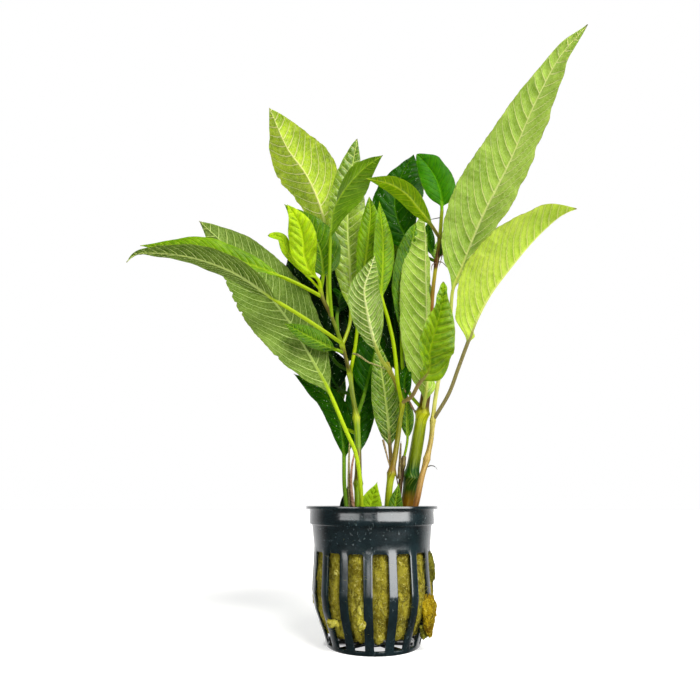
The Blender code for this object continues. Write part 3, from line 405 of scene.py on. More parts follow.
# The colours are red, green and blue from 0 to 255; rough is the roughness, shine the strength of the
# gloss, glow the share of light that passes through, and veins, net and the bead field how much side
# veins, fine net and wet beads show, the beads with painted glints of pale colour; tip is how much darker the
# blade gets towards its tip
LOOKS = {
    "dull": Look((58, 104, 4), (96, 148, 16), (80, 116, 26), (134, 164, 66), (206, 228, 130),
                 (190, 220, 30), 0.55, 0.07, 0.25, 0.90, 0.24, 0.0),
    "arched": Look((78, 128, 0), (116, 164, 8), (72, 106, 16), (124, 156, 56), (210, 230, 130),
                   (186, 214, 34), 0.42, 0.09, 0.25, 0.90, 0.15, 0.0),
    "tall": Look((100, 152, 10), (148, 194, 30), (148, 192, 50), (200, 234, 96), (240, 250, 160),
                 (220, 228, 104), 0.55, 0.08, 0.35, 0.85, 0.24, 0.0),
    "broad": Look((46, 100, 4), (90, 140, 16), (182, 222, 48), (230, 255, 90), (244, 254, 150),
                  (150, 140, 90), 0.55, 0.07, 0.35, 0.80, 0.22, 0.0),
    "ribbed": Look((84, 134, 14), (124, 166, 36), (96, 140, 14), (184, 220, 90), (240, 250, 170),
                   (190, 200, 80), 0.34, 0.13, 0.30, 0.95, 0.22, 0.0),
    "glowing": Look((124, 168, 4), (180, 210, 30), (128, 174, 0), (220, 250, 50), (250, 255, 166),
                    (196, 220, 60), 0.50, 0.07, 0.40, 1.0, 0.30, 0.0),
    "young": Look((148, 196, 0), (204, 240, 0), (156, 196, 0), (198, 228, 20), (226, 250, 50),
                  (190, 218, 0), 0.42, 0.07, 0.40, 0.60, 0.30, 0.0),
    "smooth": Look((144, 194, 0), (198, 238, 16), (130, 176, 0), (180, 214, 20), (212, 242, 50),
                   (170, 200, 10), 0.50, 0.12, 0.40, 0.25, 0.0, 0.0),
    "leafy": Look((72, 124, 0), (144, 194, 2), (100, 150, 0), (152, 200, 16), (196, 224, 56),
                  (180, 210, 10), 0.34, 0.09, 0.30, 0.60, 0.15, 0.0),
    "crossing": Look((84, 140, 0), (144, 196, 0), (104, 152, 0), (150, 194, 14), (206, 230, 30),
                     (150, 140, 60), 0.34, 0.09, 0.30, 0.60, 0.12, 0.0),
    "fresh": Look((36, 116, 0), (80, 156, 0), (50, 124, 0), (92, 162, 8), (108, 184, 4),
                  (130, 190, 4), 0.45, 0.045, 0.30, 0.35, 0.10, 0.0),
    "middling": Look((44, 96, 0), (98, 154, 2), (84, 134, 6), (126, 172, 24), (170, 206, 50),
                     (150, 188, 10), 0.34, 0.09, 0.25, 0.60, 0.18, 0.3),
    "upright": Look((64, 112, 0), (204, 238, 66), (84, 130, 14), (130, 170, 50), (226, 242, 140),
                    (180, 200, 40), 0.28, 0.20, 0.25, 0.80, 0.20, 0.7, 1.0),
    "veined": Look((30, 84, 0), (130, 178, 0), (80, 126, 16), (126, 166, 46), (220, 240, 130),
                   (140, 120, 60), 0.26, 0.17, 0.20, 0.90, 0.25, 0.8),
    # dark: a deep green that is partly the leaves' own colour and partly painted shade
    "dark": Look((6, 58, 0), (40, 106, 0), (20, 74, 2), (50, 112, 10), (84, 140, 10),
                 (104, 146, 30), 0.35, 0.035, 0.10, 0.40, 0.12, 0.7),
    # deep: upper sides near black, painted shade for the leaves inside the plant; the undersides stay green
    "deep": Look((0, 14, 0), (8, 44, 2), (24, 70, 8), (58, 114, 28), (44, 92, 14),
                 (50, 86, 6), 0.45, 0.05, 0.05, 0.25, 0.10, 0.8),
    "quilted": Look((84, 138, 0), (172, 212, 8), (130, 168, 10), (170, 200, 40), (196, 222, 50),
                    (160, 140, 84), 0.32, 0.16, 0.30, 0.60, 0.20, 0.0),
}

BROWN = (96, 70, 30)
# Pale colour painted on the wet beads and smears of leaves: painted glints
PAINTED_GLINT = (214, 234, 204)
STEM_STREAK = (226, 232, 110)
POT_SHEEN = (22, 44, 50)
POT_DUST = (150, 160, 150)
POT_SCRATCH = (130, 144, 146)
# Dark colour painted into the wool's cracks: painted shade
WOOL_CRACK_SHADE = (60, 48, 10)
WOOL_DIRT = (44, 26, 8)
# What a colour is multiplied by in its darker patches; on leaves also in the painted shade beside the side
# veins
LEAF_SHADE = (0.42, 0.58, 0.25, 1)
STEM_SHADE = (0.34, 0.36, 0.16, 1)


def paint(red, green, blue):
    """A screen colour from 0 to 255 as the linear colour that shaders read."""
    def straight(level):
        level /= 255
        return level / 12.92 if level <= 0.04045 else ((level + 0.055) / 1.055) ** 2.4

    return (straight(red), straight(green), straight(blue), 1.0)


def smooth_step(low, high, values):
    """Rises smoothly from 0 to 1 as one value, or each of an array, goes from low to high."""
    share = np.clip((values - low) / (high - low), 0, 1)
    return share * share * (3 - 2 * share)


class Wire:
    """A shader socket that can be used in sums: wire * 2 + other adds the Math nodes."""

    def __init__(self, tree, socket):
        self.tree = tree
        self.socket = socket

    def __add__(self, other):
        return self.tree.maths("ADD", self, other)

    def __sub__(self, other):
        return self.tree.maths("SUBTRACT", self, other)

    def __rsub__(self, other):
        return self.tree.maths("SUBTRACT", other, self)

    def __mul__(self, other):
        return self.tree.maths("MULTIPLY", self, other)

    def __truediv__(self, other):
        return self.tree.maths("DIVIDE", self, other)

    __radd__ = __add__


class Tree:
    """The node tree of a material or a world, with one method that adds any node."""

    def __init__(self, home):
        self.home = home if isinstance(home, bpy.types.ID) else bpy.data.materials.new(home)
        self.home.use_nodes = True
        self.nodes = self.home.node_tree.nodes
        self.links = self.home.node_tree.links
        self.nodes.clear()

    def add(self, kind, settings=None, inputs=None, output=0):
        node = self.nodes.new("ShaderNode" + kind)
        for key, value in (settings or {}).items():
            if key == "stops":
                self.set_stops(node.color_ramp, value)
            else:
                setattr(node, key, value)
        for key, value in (inputs or {}).items():
            if isinstance(value, Wire):
                self.links.new(value.socket, node.inputs[key])
            else:
                node.inputs[key].default_value = value
        return Wire(self, node.outputs[output])

    @staticmethod
    def set_stops(ramp, stops):
        for index, (place, colour) in enumerate(stops):
            stop = ramp.elements[index] if index < 2 else ramp.elements.new(place)
            stop.position = place
            stop.color = colour

    def maths(self, operation, *values):
        return self.add("Math", {"operation": operation}, dict(enumerate(values)))

    def step(self, low, high, value):
        """Rises smoothly from 0 to 1 as the value goes from low to high."""
        settings = {"interpolation_type": "SMOOTHSTEP"}
        return self.add("MapRange", settings, {"Value": value, "From Min": low, "From Max": high})

    def mix(self, share, one, two, blend="MIX"):
        settings = {"data_type": "RGBA", "blend_type": blend}
        return self.add("Mix", settings, {0: share, 6: one, 7: two}, 2)

    def place(self):
        """Object coordinates in millimetres."""
        metres = self.add("TexCoord", output=3)
        return self.add("VectorMath", {"operation": "SCALE"}, {0: metres, "Scale": 1 / MM})

    def stretched(self, vector, scales):
        return self.add("VectorMath", {"operation": "MULTIPLY"}, {0: vector, 1: scales})

    def cloud(self, vector, scale, detail=3.0, rough=0.55, colour=False):
        """Soft noise from 0 to 1, with scale in patches for each millimetre."""
        inputs = {"Vector": vector, "Scale": scale, "Detail": detail, "Roughness": rough}
        return self.add("TexNoise", inputs=inputs, output=1 if colour else 0)

    def cells(self, vector, scale, feature="F1", output=0):
        return self.add("TexVoronoi", {"feature": feature}, {"Vector": vector, "Scale": scale}, output)

    def cracks(self, cloud, width):
        """Thin lines where soft noise passes through its middle value."""
        return 1 - self.step(0.0, width, self.maths("ABSOLUTE", cloud - 0.5))

    def part(self, vector, axis):
        """One of the three numbers of a vector."""
        return self.add("SeparateXYZ", inputs={0: vector}, output=axis)

    def map_of(self, name):
        """One of the piece's own coordinate maps, whole and as its two numbers."""
        both = self.add("UVMap", {"uv_map": name})
        return both, self.part(both, 0), self.part(both, 1)

    def bump(self, height, distance):
        """A raised normal, with the distance in millimetres."""
        return self.add("Bump", inputs={"Height": height, "Distance": distance * MM, "Strength": 1.0})

    def finish(self, surface, kind="Material"):
        node = self.nodes.new("ShaderNodeOutput" + kind)
        self.links.new(surface.socket, node.inputs["Surface"])
        return self.home

    def skin(self, inputs):
        """Ends a material in one Principled shader."""
        return self.finish(self.add("BsdfPrincipled", inputs=inputs))


def shared_material(name, fill, *details):
    """The material of that name. The first time, fill makes its nodes."""
    return bpy.data.materials.get(name) or fill(Tree(name), *details)


def leaf_material(tree, look):
    """Leaf tissue with a midrib, curved side veins with painted shade beside them, a fine net between them,
    mottled colour and painted glints on wet beads.
    """
    flat, across, _ = tree.map_of("millimetres")
    _, phase, side = tree.map_of("veins")
    _, share, under = tree.map_of("place")
    _, gap, _ = tree.map_of("sizes")
    where = tree.place()
    side = tree.maths("ABSOLUTE", side)
    across = tree.maths("ABSOLUTE", across)
    blade = tree.step(-0.02, 0.03, share)

    patches = tree.cloud(where, 0.09, 2.0)
    mottle = tree.cloud(where, 0.40, 3.0)
    grain = tree.cloud(where, 1.9, 3.0, 0.6)

    wandering = phase + (tree.cloud(flat, 0.35, 2.0) - 0.5) * 0.14
    off_vein = tree.maths("PINGPONG", wandering, 0.5)
    off_vein_mm = off_vein * gap
    half = (0.20 + gap * 0.065) * (1 - side * 0.5)
    lateral = (1 - tree.step(0.35, 1.0, off_vein_mm / half)) * tree.step(1.0, 0.86, side) * blade
    painted_vein_shade = (1 - tree.step(0.3, 1.5, off_vein_mm)) * blade
    between = tree.maths("PINGPONG", wandering + 0.5, 0.5)
    minor = (1 - tree.step(0.04, 0.22, between * gap)) * tree.step(0.75, 0.40, side) * blade
    midrib = 1 - tree.step(0.5, 1.0, across / (0.95 - share * 0.72))

    lattice = tree.add("CombineXYZ", inputs={0: wandering * gap * 0.62, 1: across * 0.95})
    edge = tree.cells(lattice, 1.0, "DISTANCE_TO_EDGE") + grain * 0.10 - 0.05
    net = (1 - tree.step(0.02, 0.14, edge)) * blade * (1 - midrib)
    pillow = tree.step(0.0, 0.42, edge) * blade

    tone = tree.step(0.25, 0.75, patches * 0.5 + mottle * 0.5)
    upper = tree.mix(tone, paint(*look.upper), paint(*look.upper_light))
    lower = tree.mix(tone, paint(*look.under), paint(*look.under_light))
    colour = tree.mix(under, upper, lower)
    shade = tree.mix(1.0, colour, LEAF_SHADE, "MULTIPLY")
    # Painted shade in the sunken grooves beside the side veins
    colour = tree.mix(painted_vein_shade * (0.50 * look.veins), colour, shade)
    colour = tree.mix(tree.step(0.45, 0.75, grain) * 0.35, colour, shade)
    if look.tip:
        colour = tree.mix(tree.step(0.45, 0.95, share) * look.tip, colour, shade)
    colour = tree.mix(net * look.net, colour, paint(*look.vein))
    colour = tree.mix(minor * (0.30 * look.veins), colour, paint(*look.vein))
    colour = tree.mix(lateral * look.veins, colour, paint(*look.vein))
    rib = tree.mix(tree.step(0.02, 0.20, share), paint(*look.stalk), paint(*look.vein))
    colour = tree.mix(midrib * (0.45 + 0.5 * look.veins), colour, rib)
    colour = tree.mix(1 - blade, colour, paint(*look.stalk))

    worn = tree.step(0.965, 1.0, side) * tree.step(0.46, 0.60, tree.cloud(where, 0.7, 2.0))
    speck = tree.step(0.735, 0.76, tree.cloud(where, 0.42, 4.0, 0.75))
    dry_tip = tree.step(0.98, 1.0, share)
    brown = tree.maths("MAXIMUM", tree.maths("MAXIMUM", worn, speck), dry_tip) * blade
    colour = tree.mix(brown * 0.72, colour, paint(*BROWN))

    height = pillow * (0.5 - under) * look.net * 2.0 + grain * 0.40 + lateral * (under * 2.4 - 1.2)
    rough = look.rough - 0.06 + grain * 0.12 + under * 0.06
    # Wet beads: bumped and glossier, with painted glints of pale colour on the beads and on long smears
    if look.drops:
        chosen = tree.step(0.50, 0.56, tree.cells(where, 0.85, output=1)) * tree.step(0.50, 0.56, mottle)
        bead_painted_glint = (1 - tree.step(0.14, 0.26, tree.cells(where, 0.85))) * chosen * blade
        smear = tree.cloud(tree.stretched(flat, (1.5, 0.6, 1)), 0.55, 4.0, 0.7)
        painted_glint_film = tree.step(0.61, 0.65, smear) * tree.step(0.46, 0.54, patches) * blade
        bead_painted_glint = tree.maths("MAXIMUM", bead_painted_glint, painted_glint_film) * (1 - under)
        colour = tree.mix(bead_painted_glint * (0.85 * look.drops), colour, paint(*PAINTED_GLINT))
        height = height + bead_painted_glint * 1.5
        rough = rough * (1 - bead_painted_glint * 0.7)
    return tree.skin({
        "Base Color": colour, "Roughness": rough, "Specular IOR Level": look.shine, "IOR": 1.42,
        "Subsurface Weight": look.glow, "Subsurface Radius": (1.0, 1.0, 0.35),
        "Subsurface Scale": 0.6 * MM, "Normal": tree.bump(height, 0.14)})


def stem_material(tree, hues):
    """Fleshy stem with long faint ridges, coloured from its foot to its top."""
    where = tree.place()
    around, _, _ = tree.map_of("millimetres")
    low, high = hues[0][0], hues[-1][0]
    stops = [((level - low) / (high - low), paint(*hue)) for level, *hue in hues]
    rise = tree.part(where, 2) + tree.cloud(where, 0.5) * 2.4 - 1.2
    colour = tree.add("ValToRGB", {"stops": stops}, {0: (rise - low) / (high - low)})
    streak = tree.cloud(tree.stretched(around, (1.6, 0.10, 1)), 1.0, 4.0)
    mottle = tree.cloud(where, 0.9, 4.0)
    shade = tree.mix(1.0, colour, STEM_SHADE, "MULTIPLY")
    colour = tree.mix(tree.step(0.46, 0.66, streak) * 0.60, colour, shade)
    colour = tree.mix(tree.step(0.46, 0.34, streak) * 0.22, colour, paint(*STEM_STREAK))
    colour = tree.mix(tree.step(0.62, 0.70, mottle) * 0.25, colour, paint(*BROWN))
    return tree.skin({
        "Base Color": colour, "Roughness": mottle * 0.3 + 0.18, "Specular IOR Level": 0.14, "IOR": 1.42,
        "Normal": tree.bump(streak + mottle * 0.4, 0.12)})


def plain_growth_material(tree, dark, light):
    """Dry or dead tissue, streaky between two colours."""
    streak = tree.cloud(tree.place(), 1.2, 5.0, 0.7)
    colour = tree.mix(tree.step(0.35, 0.65, streak), paint(*dark), paint(*light))
    return tree.skin({"Base Color": colour, "Roughness": 0.7, "Normal": tree.bump(streak, 0.15)})


def pot_material(tree, colour):
    """Glossy black plastic with faint scratches, flow marks and specks of dust."""
    where = tree.place()
    smear = tree.cloud(where, 0.14, 3.0)
    wear = tree.cloud(where, 0.05, 2.0)
    flow = tree.cloud(tree.stretched(where, (1.6, 1.6, 0.12)), 1.0, 3.0)
    scratch = tree.cracks(tree.cloud(where, 0.9, 1.0), 0.05)
    scratch = scratch * tree.step(0.58, 0.66, tree.cloud(where, 0.6, 2.0)) * tree.step(0.45, 0.6, wear)
    chosen = tree.step(0.86, 0.90, tree.cells(where, 0.9, output=1))
    speck = (1 - tree.step(0.05, 0.14, tree.cells(where, 0.9))) * chosen
    tint = tree.mix(tree.step(0.35, 0.7, smear), tuple(colour), paint(*POT_SHEEN))
    tint = tree.mix(speck * 0.6, tint, paint(*POT_DUST))
    tint = tree.mix(scratch * 0.45, tint, paint(*POT_SCRATCH))
    normal = tree.bump(flow * 0.5 + smear * 1.5 + speck * 0.5 - scratch * 0.5, 0.06)
    return tree.skin({
        "Base Color": tint, "Roughness": smear * 0.16 + wear * 0.14 + speck * 0.4 + 0.06,
        "Specular IOR Level": 0.5, "Coat Weight": 0.5, "Coat Roughness": 0.10, "Normal": normal})


def wool_material(tree, dark, middle, light):
    """Matted mineral fibre: coarse, streaky and dull, with painted shade in its cracks and dark crumbs of
    dirt.
    """
    where = tree.place()
    clump = tree.cloud(where, 0.20, 4.0, 0.6)
    drift = tree.stretched(tree.cloud(where, 0.22, 3.0, 0.6, colour=True), (6, 6, 6))
    warp = tree.add("VectorMath", {"operation": "ADD"}, {0: where, 1: drift})
    strand = tree.cloud(tree.stretched(warp, (1.0, 1.0, 0.25)), 2.0, 6.0, 0.70)
    cross = tree.cloud(tree.stretched(warp, (0.30, 0.30, 1.0)), 1.6, 5.0, 0.70)
    matted = strand * 0.65 + cross * 0.35
    chosen = tree.step(0.74, 0.80, tree.cells(where, 0.42, output=1)) * tree.step(0.45, 0.53, clump)
    dirt = (1 - tree.step(0.08, 0.26, tree.cells(where, 0.42) + strand * 0.2 - 0.1)) * chosen
    colour = tree.mix(tree.step(0.40, 0.56, clump * 0.5 + matted * 0.5), paint(*dark), paint(*middle))
    colour = tree.mix(tree.step(0.53, 0.63, matted), colour, paint(*light))
    crack = tree.cracks(tree.cloud(tree.stretched(warp, (1, 1, 0.4)), 0.22, 2.0), 0.035)
    # Painted shade in the cracks
    colour = tree.mix(crack * tree.step(0.45, 0.55, clump) * 0.6, colour, paint(*WOOL_CRACK_SHADE))
    colour = tree.mix(dirt * 0.85, colour, paint(*WOOL_DIRT))
    return tree.skin({
        "Base Color": colour, "Roughness": 0.9, "Specular IOR Level": 0.1,
        "Normal": tree.bump(matted + clump * 0.5 - crack * 0.4, 1.3)})


def wool(kind):
    return shared_material(f"hygrophila_wool_{kind}", wool_material, *WOOLS[kind])


class Route:
    """A smooth curve through given points, read by the distance along it."""

    STEPS = 12

    def __init__(self, points):
        points = [Vector(point) for point in points]
        before = points[0] * 2 - points[1]
        after = points[-1] * 2 - points[-2]
        padded = [before] + points + [after]
        self.places = [points[0]]
        for start in range(len(points) - 1):
            for step in range(1, self.STEPS + 1):
                self.places.append(self.between(padded[start:start + 4], step / self.STEPS))
        self.marks = [0.0]
        for one, two in zip(self.places, self.places[1:]):
            self.marks.append(self.marks[-1] + (two - one).length)
        self.length = self.marks[-1]

    @staticmethod
    def between(four, share):
        """The Catmull-Rom point between the second and third of four, spaced by their distances."""
        one, two, three, four_th = four
        knots = [0.0]
        for left, right in ((one, two), (two, three), (three, four_th)):
            knots.append(knots[-1] + max((right - left).length, 0.01) ** 0.5)
        k0, k1, k2, k3 = knots
        at = k1 + (k2 - k1) * share
        a1 = one * ((k1 - at) / (k1 - k0)) + two * ((at - k0) / (k1 - k0))
        a2 = two * ((k2 - at) / (k2 - k1)) + three * ((at - k1) / (k2 - k1))
        a3 = three * ((k3 - at) / (k3 - k2)) + four_th * ((at - k2) / (k3 - k2))
        b1 = a1 * ((k2 - at) / (k2 - k0)) + a2 * ((at - k0) / (k2 - k0))
        b2 = a2 * ((k3 - at) / (k3 - k1)) + a3 * ((at - k1) / (k3 - k1))
        return b1 * ((k2 - at) / (k2 - k1)) + b2 * ((at - k1) / (k2 - k1))

    def at(self, distance):
        distance = min(max(distance, 0.0), self.length)
        after = min(max(bisect.bisect_right(self.marks, distance), 1), len(self.marks) - 1)
        span = self.marks[after] - self.marks[after - 1]
        share = (distance - self.marks[after - 1]) / span if span else 0.0
        return self.places[after - 1].lerp(self.places[after], share)

    def heading(self, distance, near=1.2):
        return (self.at(distance + near) - self.at(distance - near)).normalized()

    def at_height(self, height):
        """The distance at which the curve first reaches a height."""
        for index, place in enumerate(self.places):
            if place.z >= height:
                return self.marks[index]
        return self.length


def tube(sides, rings):
    """A closed tube as a bmesh, with each corner's ring number and angle round the tube."""
    bm = bmesh.new()
    bmesh.ops.create_cone(bm, cap_ends=True, cap_tris=False, segments=sides, radius1=1, radius2=1, depth=1)
    bmesh.ops.rotate(bm, verts=bm.verts, matrix=Matrix.Rotation(-math.pi / 2, 3, "Z"))
    along = [edge for edge in bm.edges if abs(edge.verts[0].co.z - edge.verts[1].co.z) > 0.5]
    bmesh.ops.subdivide_edges(bm, edges=along, cuts=rings - 2, use_grid_fill=True)
    ring = np.array([round((vert.co.z + 0.5) * (rings - 1)) for vert in bm.verts])
    angle = np.array([math.atan2(vert.co.y, vert.co.x) for vert in bm.verts])
    return bm, ring, angle


def add_piece(name, bm, material, places=None, maps=None, sharp=50):
    """A named piece from a bmesh in millimetres, shaded smooth, that rides with the part."""
    mesh = bpy.data.meshes.new(name)
    bm.to_mesh(mesh)
    bm.free()
    if places is None:
        places = np.empty(len(mesh.vertices) * 3)
        mesh.vertices.foreach_get("co", places)
    mesh.vertices.foreach_set("co", np.asarray(places, dtype=np.float32).ravel() * MM)
    for title, values in (maps or {}).items():
        layer = mesh.uv_layers.new(name=title)
        layer.uv.foreach_set("vector", values(mesh).astype(np.float32).ravel())
    mesh.materials.append(material)
    mesh.shade_smooth()
    mesh.set_sharp_from_angle(angle=math.radians(sharp))
    mesh.update()
    piece = bpy.data.objects.new(name, mesh)
    bpy.context.scene.collection.objects.link(piece)
    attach(piece, "root")
    return piece


def corner_map(one, two, under_of=None):
    """Gives each face corner the pair of numbers of its point."""
    def values(mesh):
        corners = np.empty(len(mesh.loops), dtype=np.int32)
        mesh.loops.foreach_get("vertex_index", corners)
        second = two[corners] if under_of is None else under_of(mesh, corners)
        return np.stack([one[corners], second], 1)

    return values


def joint_swell(height, joint):
    """How much thicker a stem is near a joint: a broad swelling with a ridge on it."""
    broad = SWELL * math.exp(-((height - joint) / SWELL_REACH) ** 2)
    ridge = RIDGE * math.exp(-((height - joint) / RIDGE_REACH) ** 2)
    return broad + ridge


def stem_radius(stem, share, height):
    """A stem tapers from foot to top and swells at each of its joints."""
    radius = stem.radius[0] + (stem.radius[1] - stem.radius[0]) * smooth_step(0.2, 0.8, share)
    return radius * (1 + sum(joint_swell(height, joint) for joint in stem.joints))


def build_stem(stem, settings):
    """A fleshy stem with low ridges along it, rounded off at its top."""
    route = Route(stem.route)
    rings = round(route.length / (settings.ring_spacing / MM))
    bm, ring, angle = tube(settings.stem_sides, rings)
    middle, across, up, radius, travel = [], [], [], [], []
    for index in range(rings):
        distance = route.length * index / (rings - 1)
        forward = route.heading(distance)
        sideways = (Vector((1, 0, 0)) - forward * forward.x).normalized()
        place = route.at(distance)
        end = min((route.length - distance) / stem.radius[1], 1.0)
        rounding = math.sqrt(1 - (1 - end) ** 2 * 0.98)
        middle.append(place)
        across.append(sideways)
        up.append(forward.cross(sideways))
        radius.append(stem_radius(stem, distance / route.length, place.z) * rounding)
        travel.append(distance)
    middle, across, up = (np.array(rows)[ring] for rows in (middle, across, up))
    radius, travel = np.array(radius)[ring], np.array(travel)[ring]
    twist = angle + travel * 0.012
    ridges = 1 + 0.045 * np.cos(4 * twist) + 0.018 * np.cos(9 * twist + 1) + 0.02 * np.sin(travel * 0.31)
    ridged = radius * ridges
    places = (middle + across * (ridged * np.cos(angle))[:, None]
              + up * (ridged * np.sin(angle))[:, None])
    maps = {"millimetres": corner_map(np.abs(angle) * radius, travel)}
    skin = shared_material(f"hygrophila_{stem.name}", stem_material, stem.hues)
    piece = add_piece(f"{stem.name}_fine", bm, skin, places, maps)
    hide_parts(stem.name)


def build_twig(name, radius, points, dark, light, settings):
    """A thin dry shoot or root that tapers to a point."""
    route = Route(points)
    rings = round(route.length / (settings.ring_spacing / MM)) + 4
    bm, ring, angle = tube(TWIG_SIDES, rings)
    for position, vert in enumerate(bm.verts):
        share = ring[position] / (rings - 1)
        forward = route.heading(route.length * share, 0.4)
        across = forward.orthogonal().normalized()
        turn = Matrix.Rotation(angle[position], 3, forward)
        thick = radius * (1 - 0.6 * share) * (1 + 0.2 * noise.noise(Vector((share * 9, radius * 40, 0))))
        thick *= math.sqrt(max(0.05, 1 - max(0, share * rings - rings + 2) ** 2))
        vert.co = route.at(route.length * share) + turn @ across * thick
    skin = shared_material(f"hygrophila_{name}", plain_growth_material, dark, light)
    piece = add_piece(f"{name}_fine", bm, skin)
    if name in SLOT_OF:
        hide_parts(name)


def blade_outline(belly, share, base, point):
    """Half the blade's width as a share of the widest: long at the base, pointed at the tip."""
    inside = np.clip(share, 0.0001, 0.9999)
    shape = (inside / belly) ** (base * belly) * ((1 - inside) / (1 - belly)) ** (point * (1 - belly))
    return np.where((share > 0) & (share < 1), shape, 0.0)


def stalk_points(leaf):
    """The leaf's route, started inside the stem that it grows from."""
    if not leaf.stem:
        return list(leaf.route)
    stem = next(stem for stem in STEMS if stem.name == leaf.stem)
    route = Route(stem.route)
    if leaf.height > route.places[-1].z:
        return [route.at(route.length - 1)] + list(leaf.route)
    start = route.at(route.at_height(leaf.height))
    return [start] + list(leaf.route)


def leaf_axes(leaf, route, distances):
    """Each ring's middle, the way across the blade and the way out of its upper side."""
    base_face, tip_face = (Vector(face).normalized() for face in leaf.face)
    middle, across, up = [], [], []
    for distance in distances:
        forward = route.heading(distance)
        share = (distance - leaf.stalk) / (route.length - leaf.stalk)
        face = base_face.lerp(tip_face, smooth_step(0, 1, share))
        rising = (face - forward * face.dot(forward)).normalized()
        middle.append(route.at(distance))
        across.append(rising.cross(forward))
        up.append(rising)
    return middle, across, up


def half_width(leaf, even, share, travel, beat):
    """How far each half of the blade reaches from the midrib, with an uneven margin and torn nicks."""
    belly = leaf.belly + np.where(even > 0, leaf.lean[1], leaf.lean[0])
    half = leaf.width / 2 * blade_outline(belly, share, leaf.base, leaf.point)
    half *= 1 + 0.008 * np.sin(travel * 0.7 + beat) + 0.005 * np.sin(travel * 1.9 + beat * 2)
    for hand, place, width, depth in leaf.nicks:
        half -= np.where(np.sign(even) == hand, depth * np.exp(-((share - place) / width) ** 2), 0)
    return half


def vein_relief(stalk, share, side, out_mm, off_vein, blend, below):
    """How deep the veins are sunk in the upper side, or how far they stand out under the blade."""
    body = np.abs(side)
    vein = np.exp(-(off_vein / 0.32) ** 2) * blend * smooth_step(0.0, 0.12, body) * (1 - body) ** 0.5
    rib = stalk * (1 - 0.78 * np.clip(share, 0, 1))
    rib_shape = np.exp(-(out_mm / (0.62 * rib + 0.1)) ** 2) * blend
    return np.where(below, rib * rib_shape * 0.9 + vein * 0.20, 0.26 * rib_shape + vein * 0.14)


def blade_swell(leaf, number, share, side, travel, phase, half, beat):
    """The swellings between the veins with the margin's waves and an arch, and the blade's slow sag."""
    body = np.abs(side)
    inner = smooth_step(0.0, 0.22, body) * (1 - smooth_step(0.72, 1.0, body))
    along = smooth_step(0.02, 0.15, share) * (1 - smooth_step(0.85, 1.0, share))
    puff = (np.abs(np.sin(math.pi * phase)) ** 0.8 - 0.5) * inner * along * leaf.quilt
    ripple = 0.6 * np.sin(travel * 0.29 + beat) + 0.4 * np.sin(travel * 0.61 + beat * 1.9)
    margin = leaf.wave * body ** 2.2 * ripple * along
    arch = 0.07 * half * np.sin(math.pi * body) * along
    sag = 0.5 * np.sin(travel * 0.11 + number) * along
    return puff + margin + arch, sag


def folded(leaf, share, side, out, lift):
    """Both halves turned up round the midrib, as the distances across the blade and out of it."""
    fold = np.radians(np.where(side > 0, leaf.fold[1], leaf.fold[0])) * smooth_step(0, 0.12, share)
    hand = np.clip(out, -1, 1)
    sideways = out * np.cos(fold) - hand * np.sin(fold) * lift
    upwards = np.abs(out) * np.sin(fold) + np.cos(fold) * lift
    return sideways, upwards


def underside_of(angle):
    """Gives each face corner 1 where its face is on the blade's underside, and 0 elsewhere."""
    def values(mesh, corners):
        count = np.empty(len(mesh.polygons), dtype=np.int32)
        mesh.polygons.foreach_get("loop_total", count)
        owner = np.repeat(np.arange(len(count)), count)
        total = np.bincount(owner, weights=np.sin(angle)[corners])
        return (total < 0)[owner].astype(float)

    return values


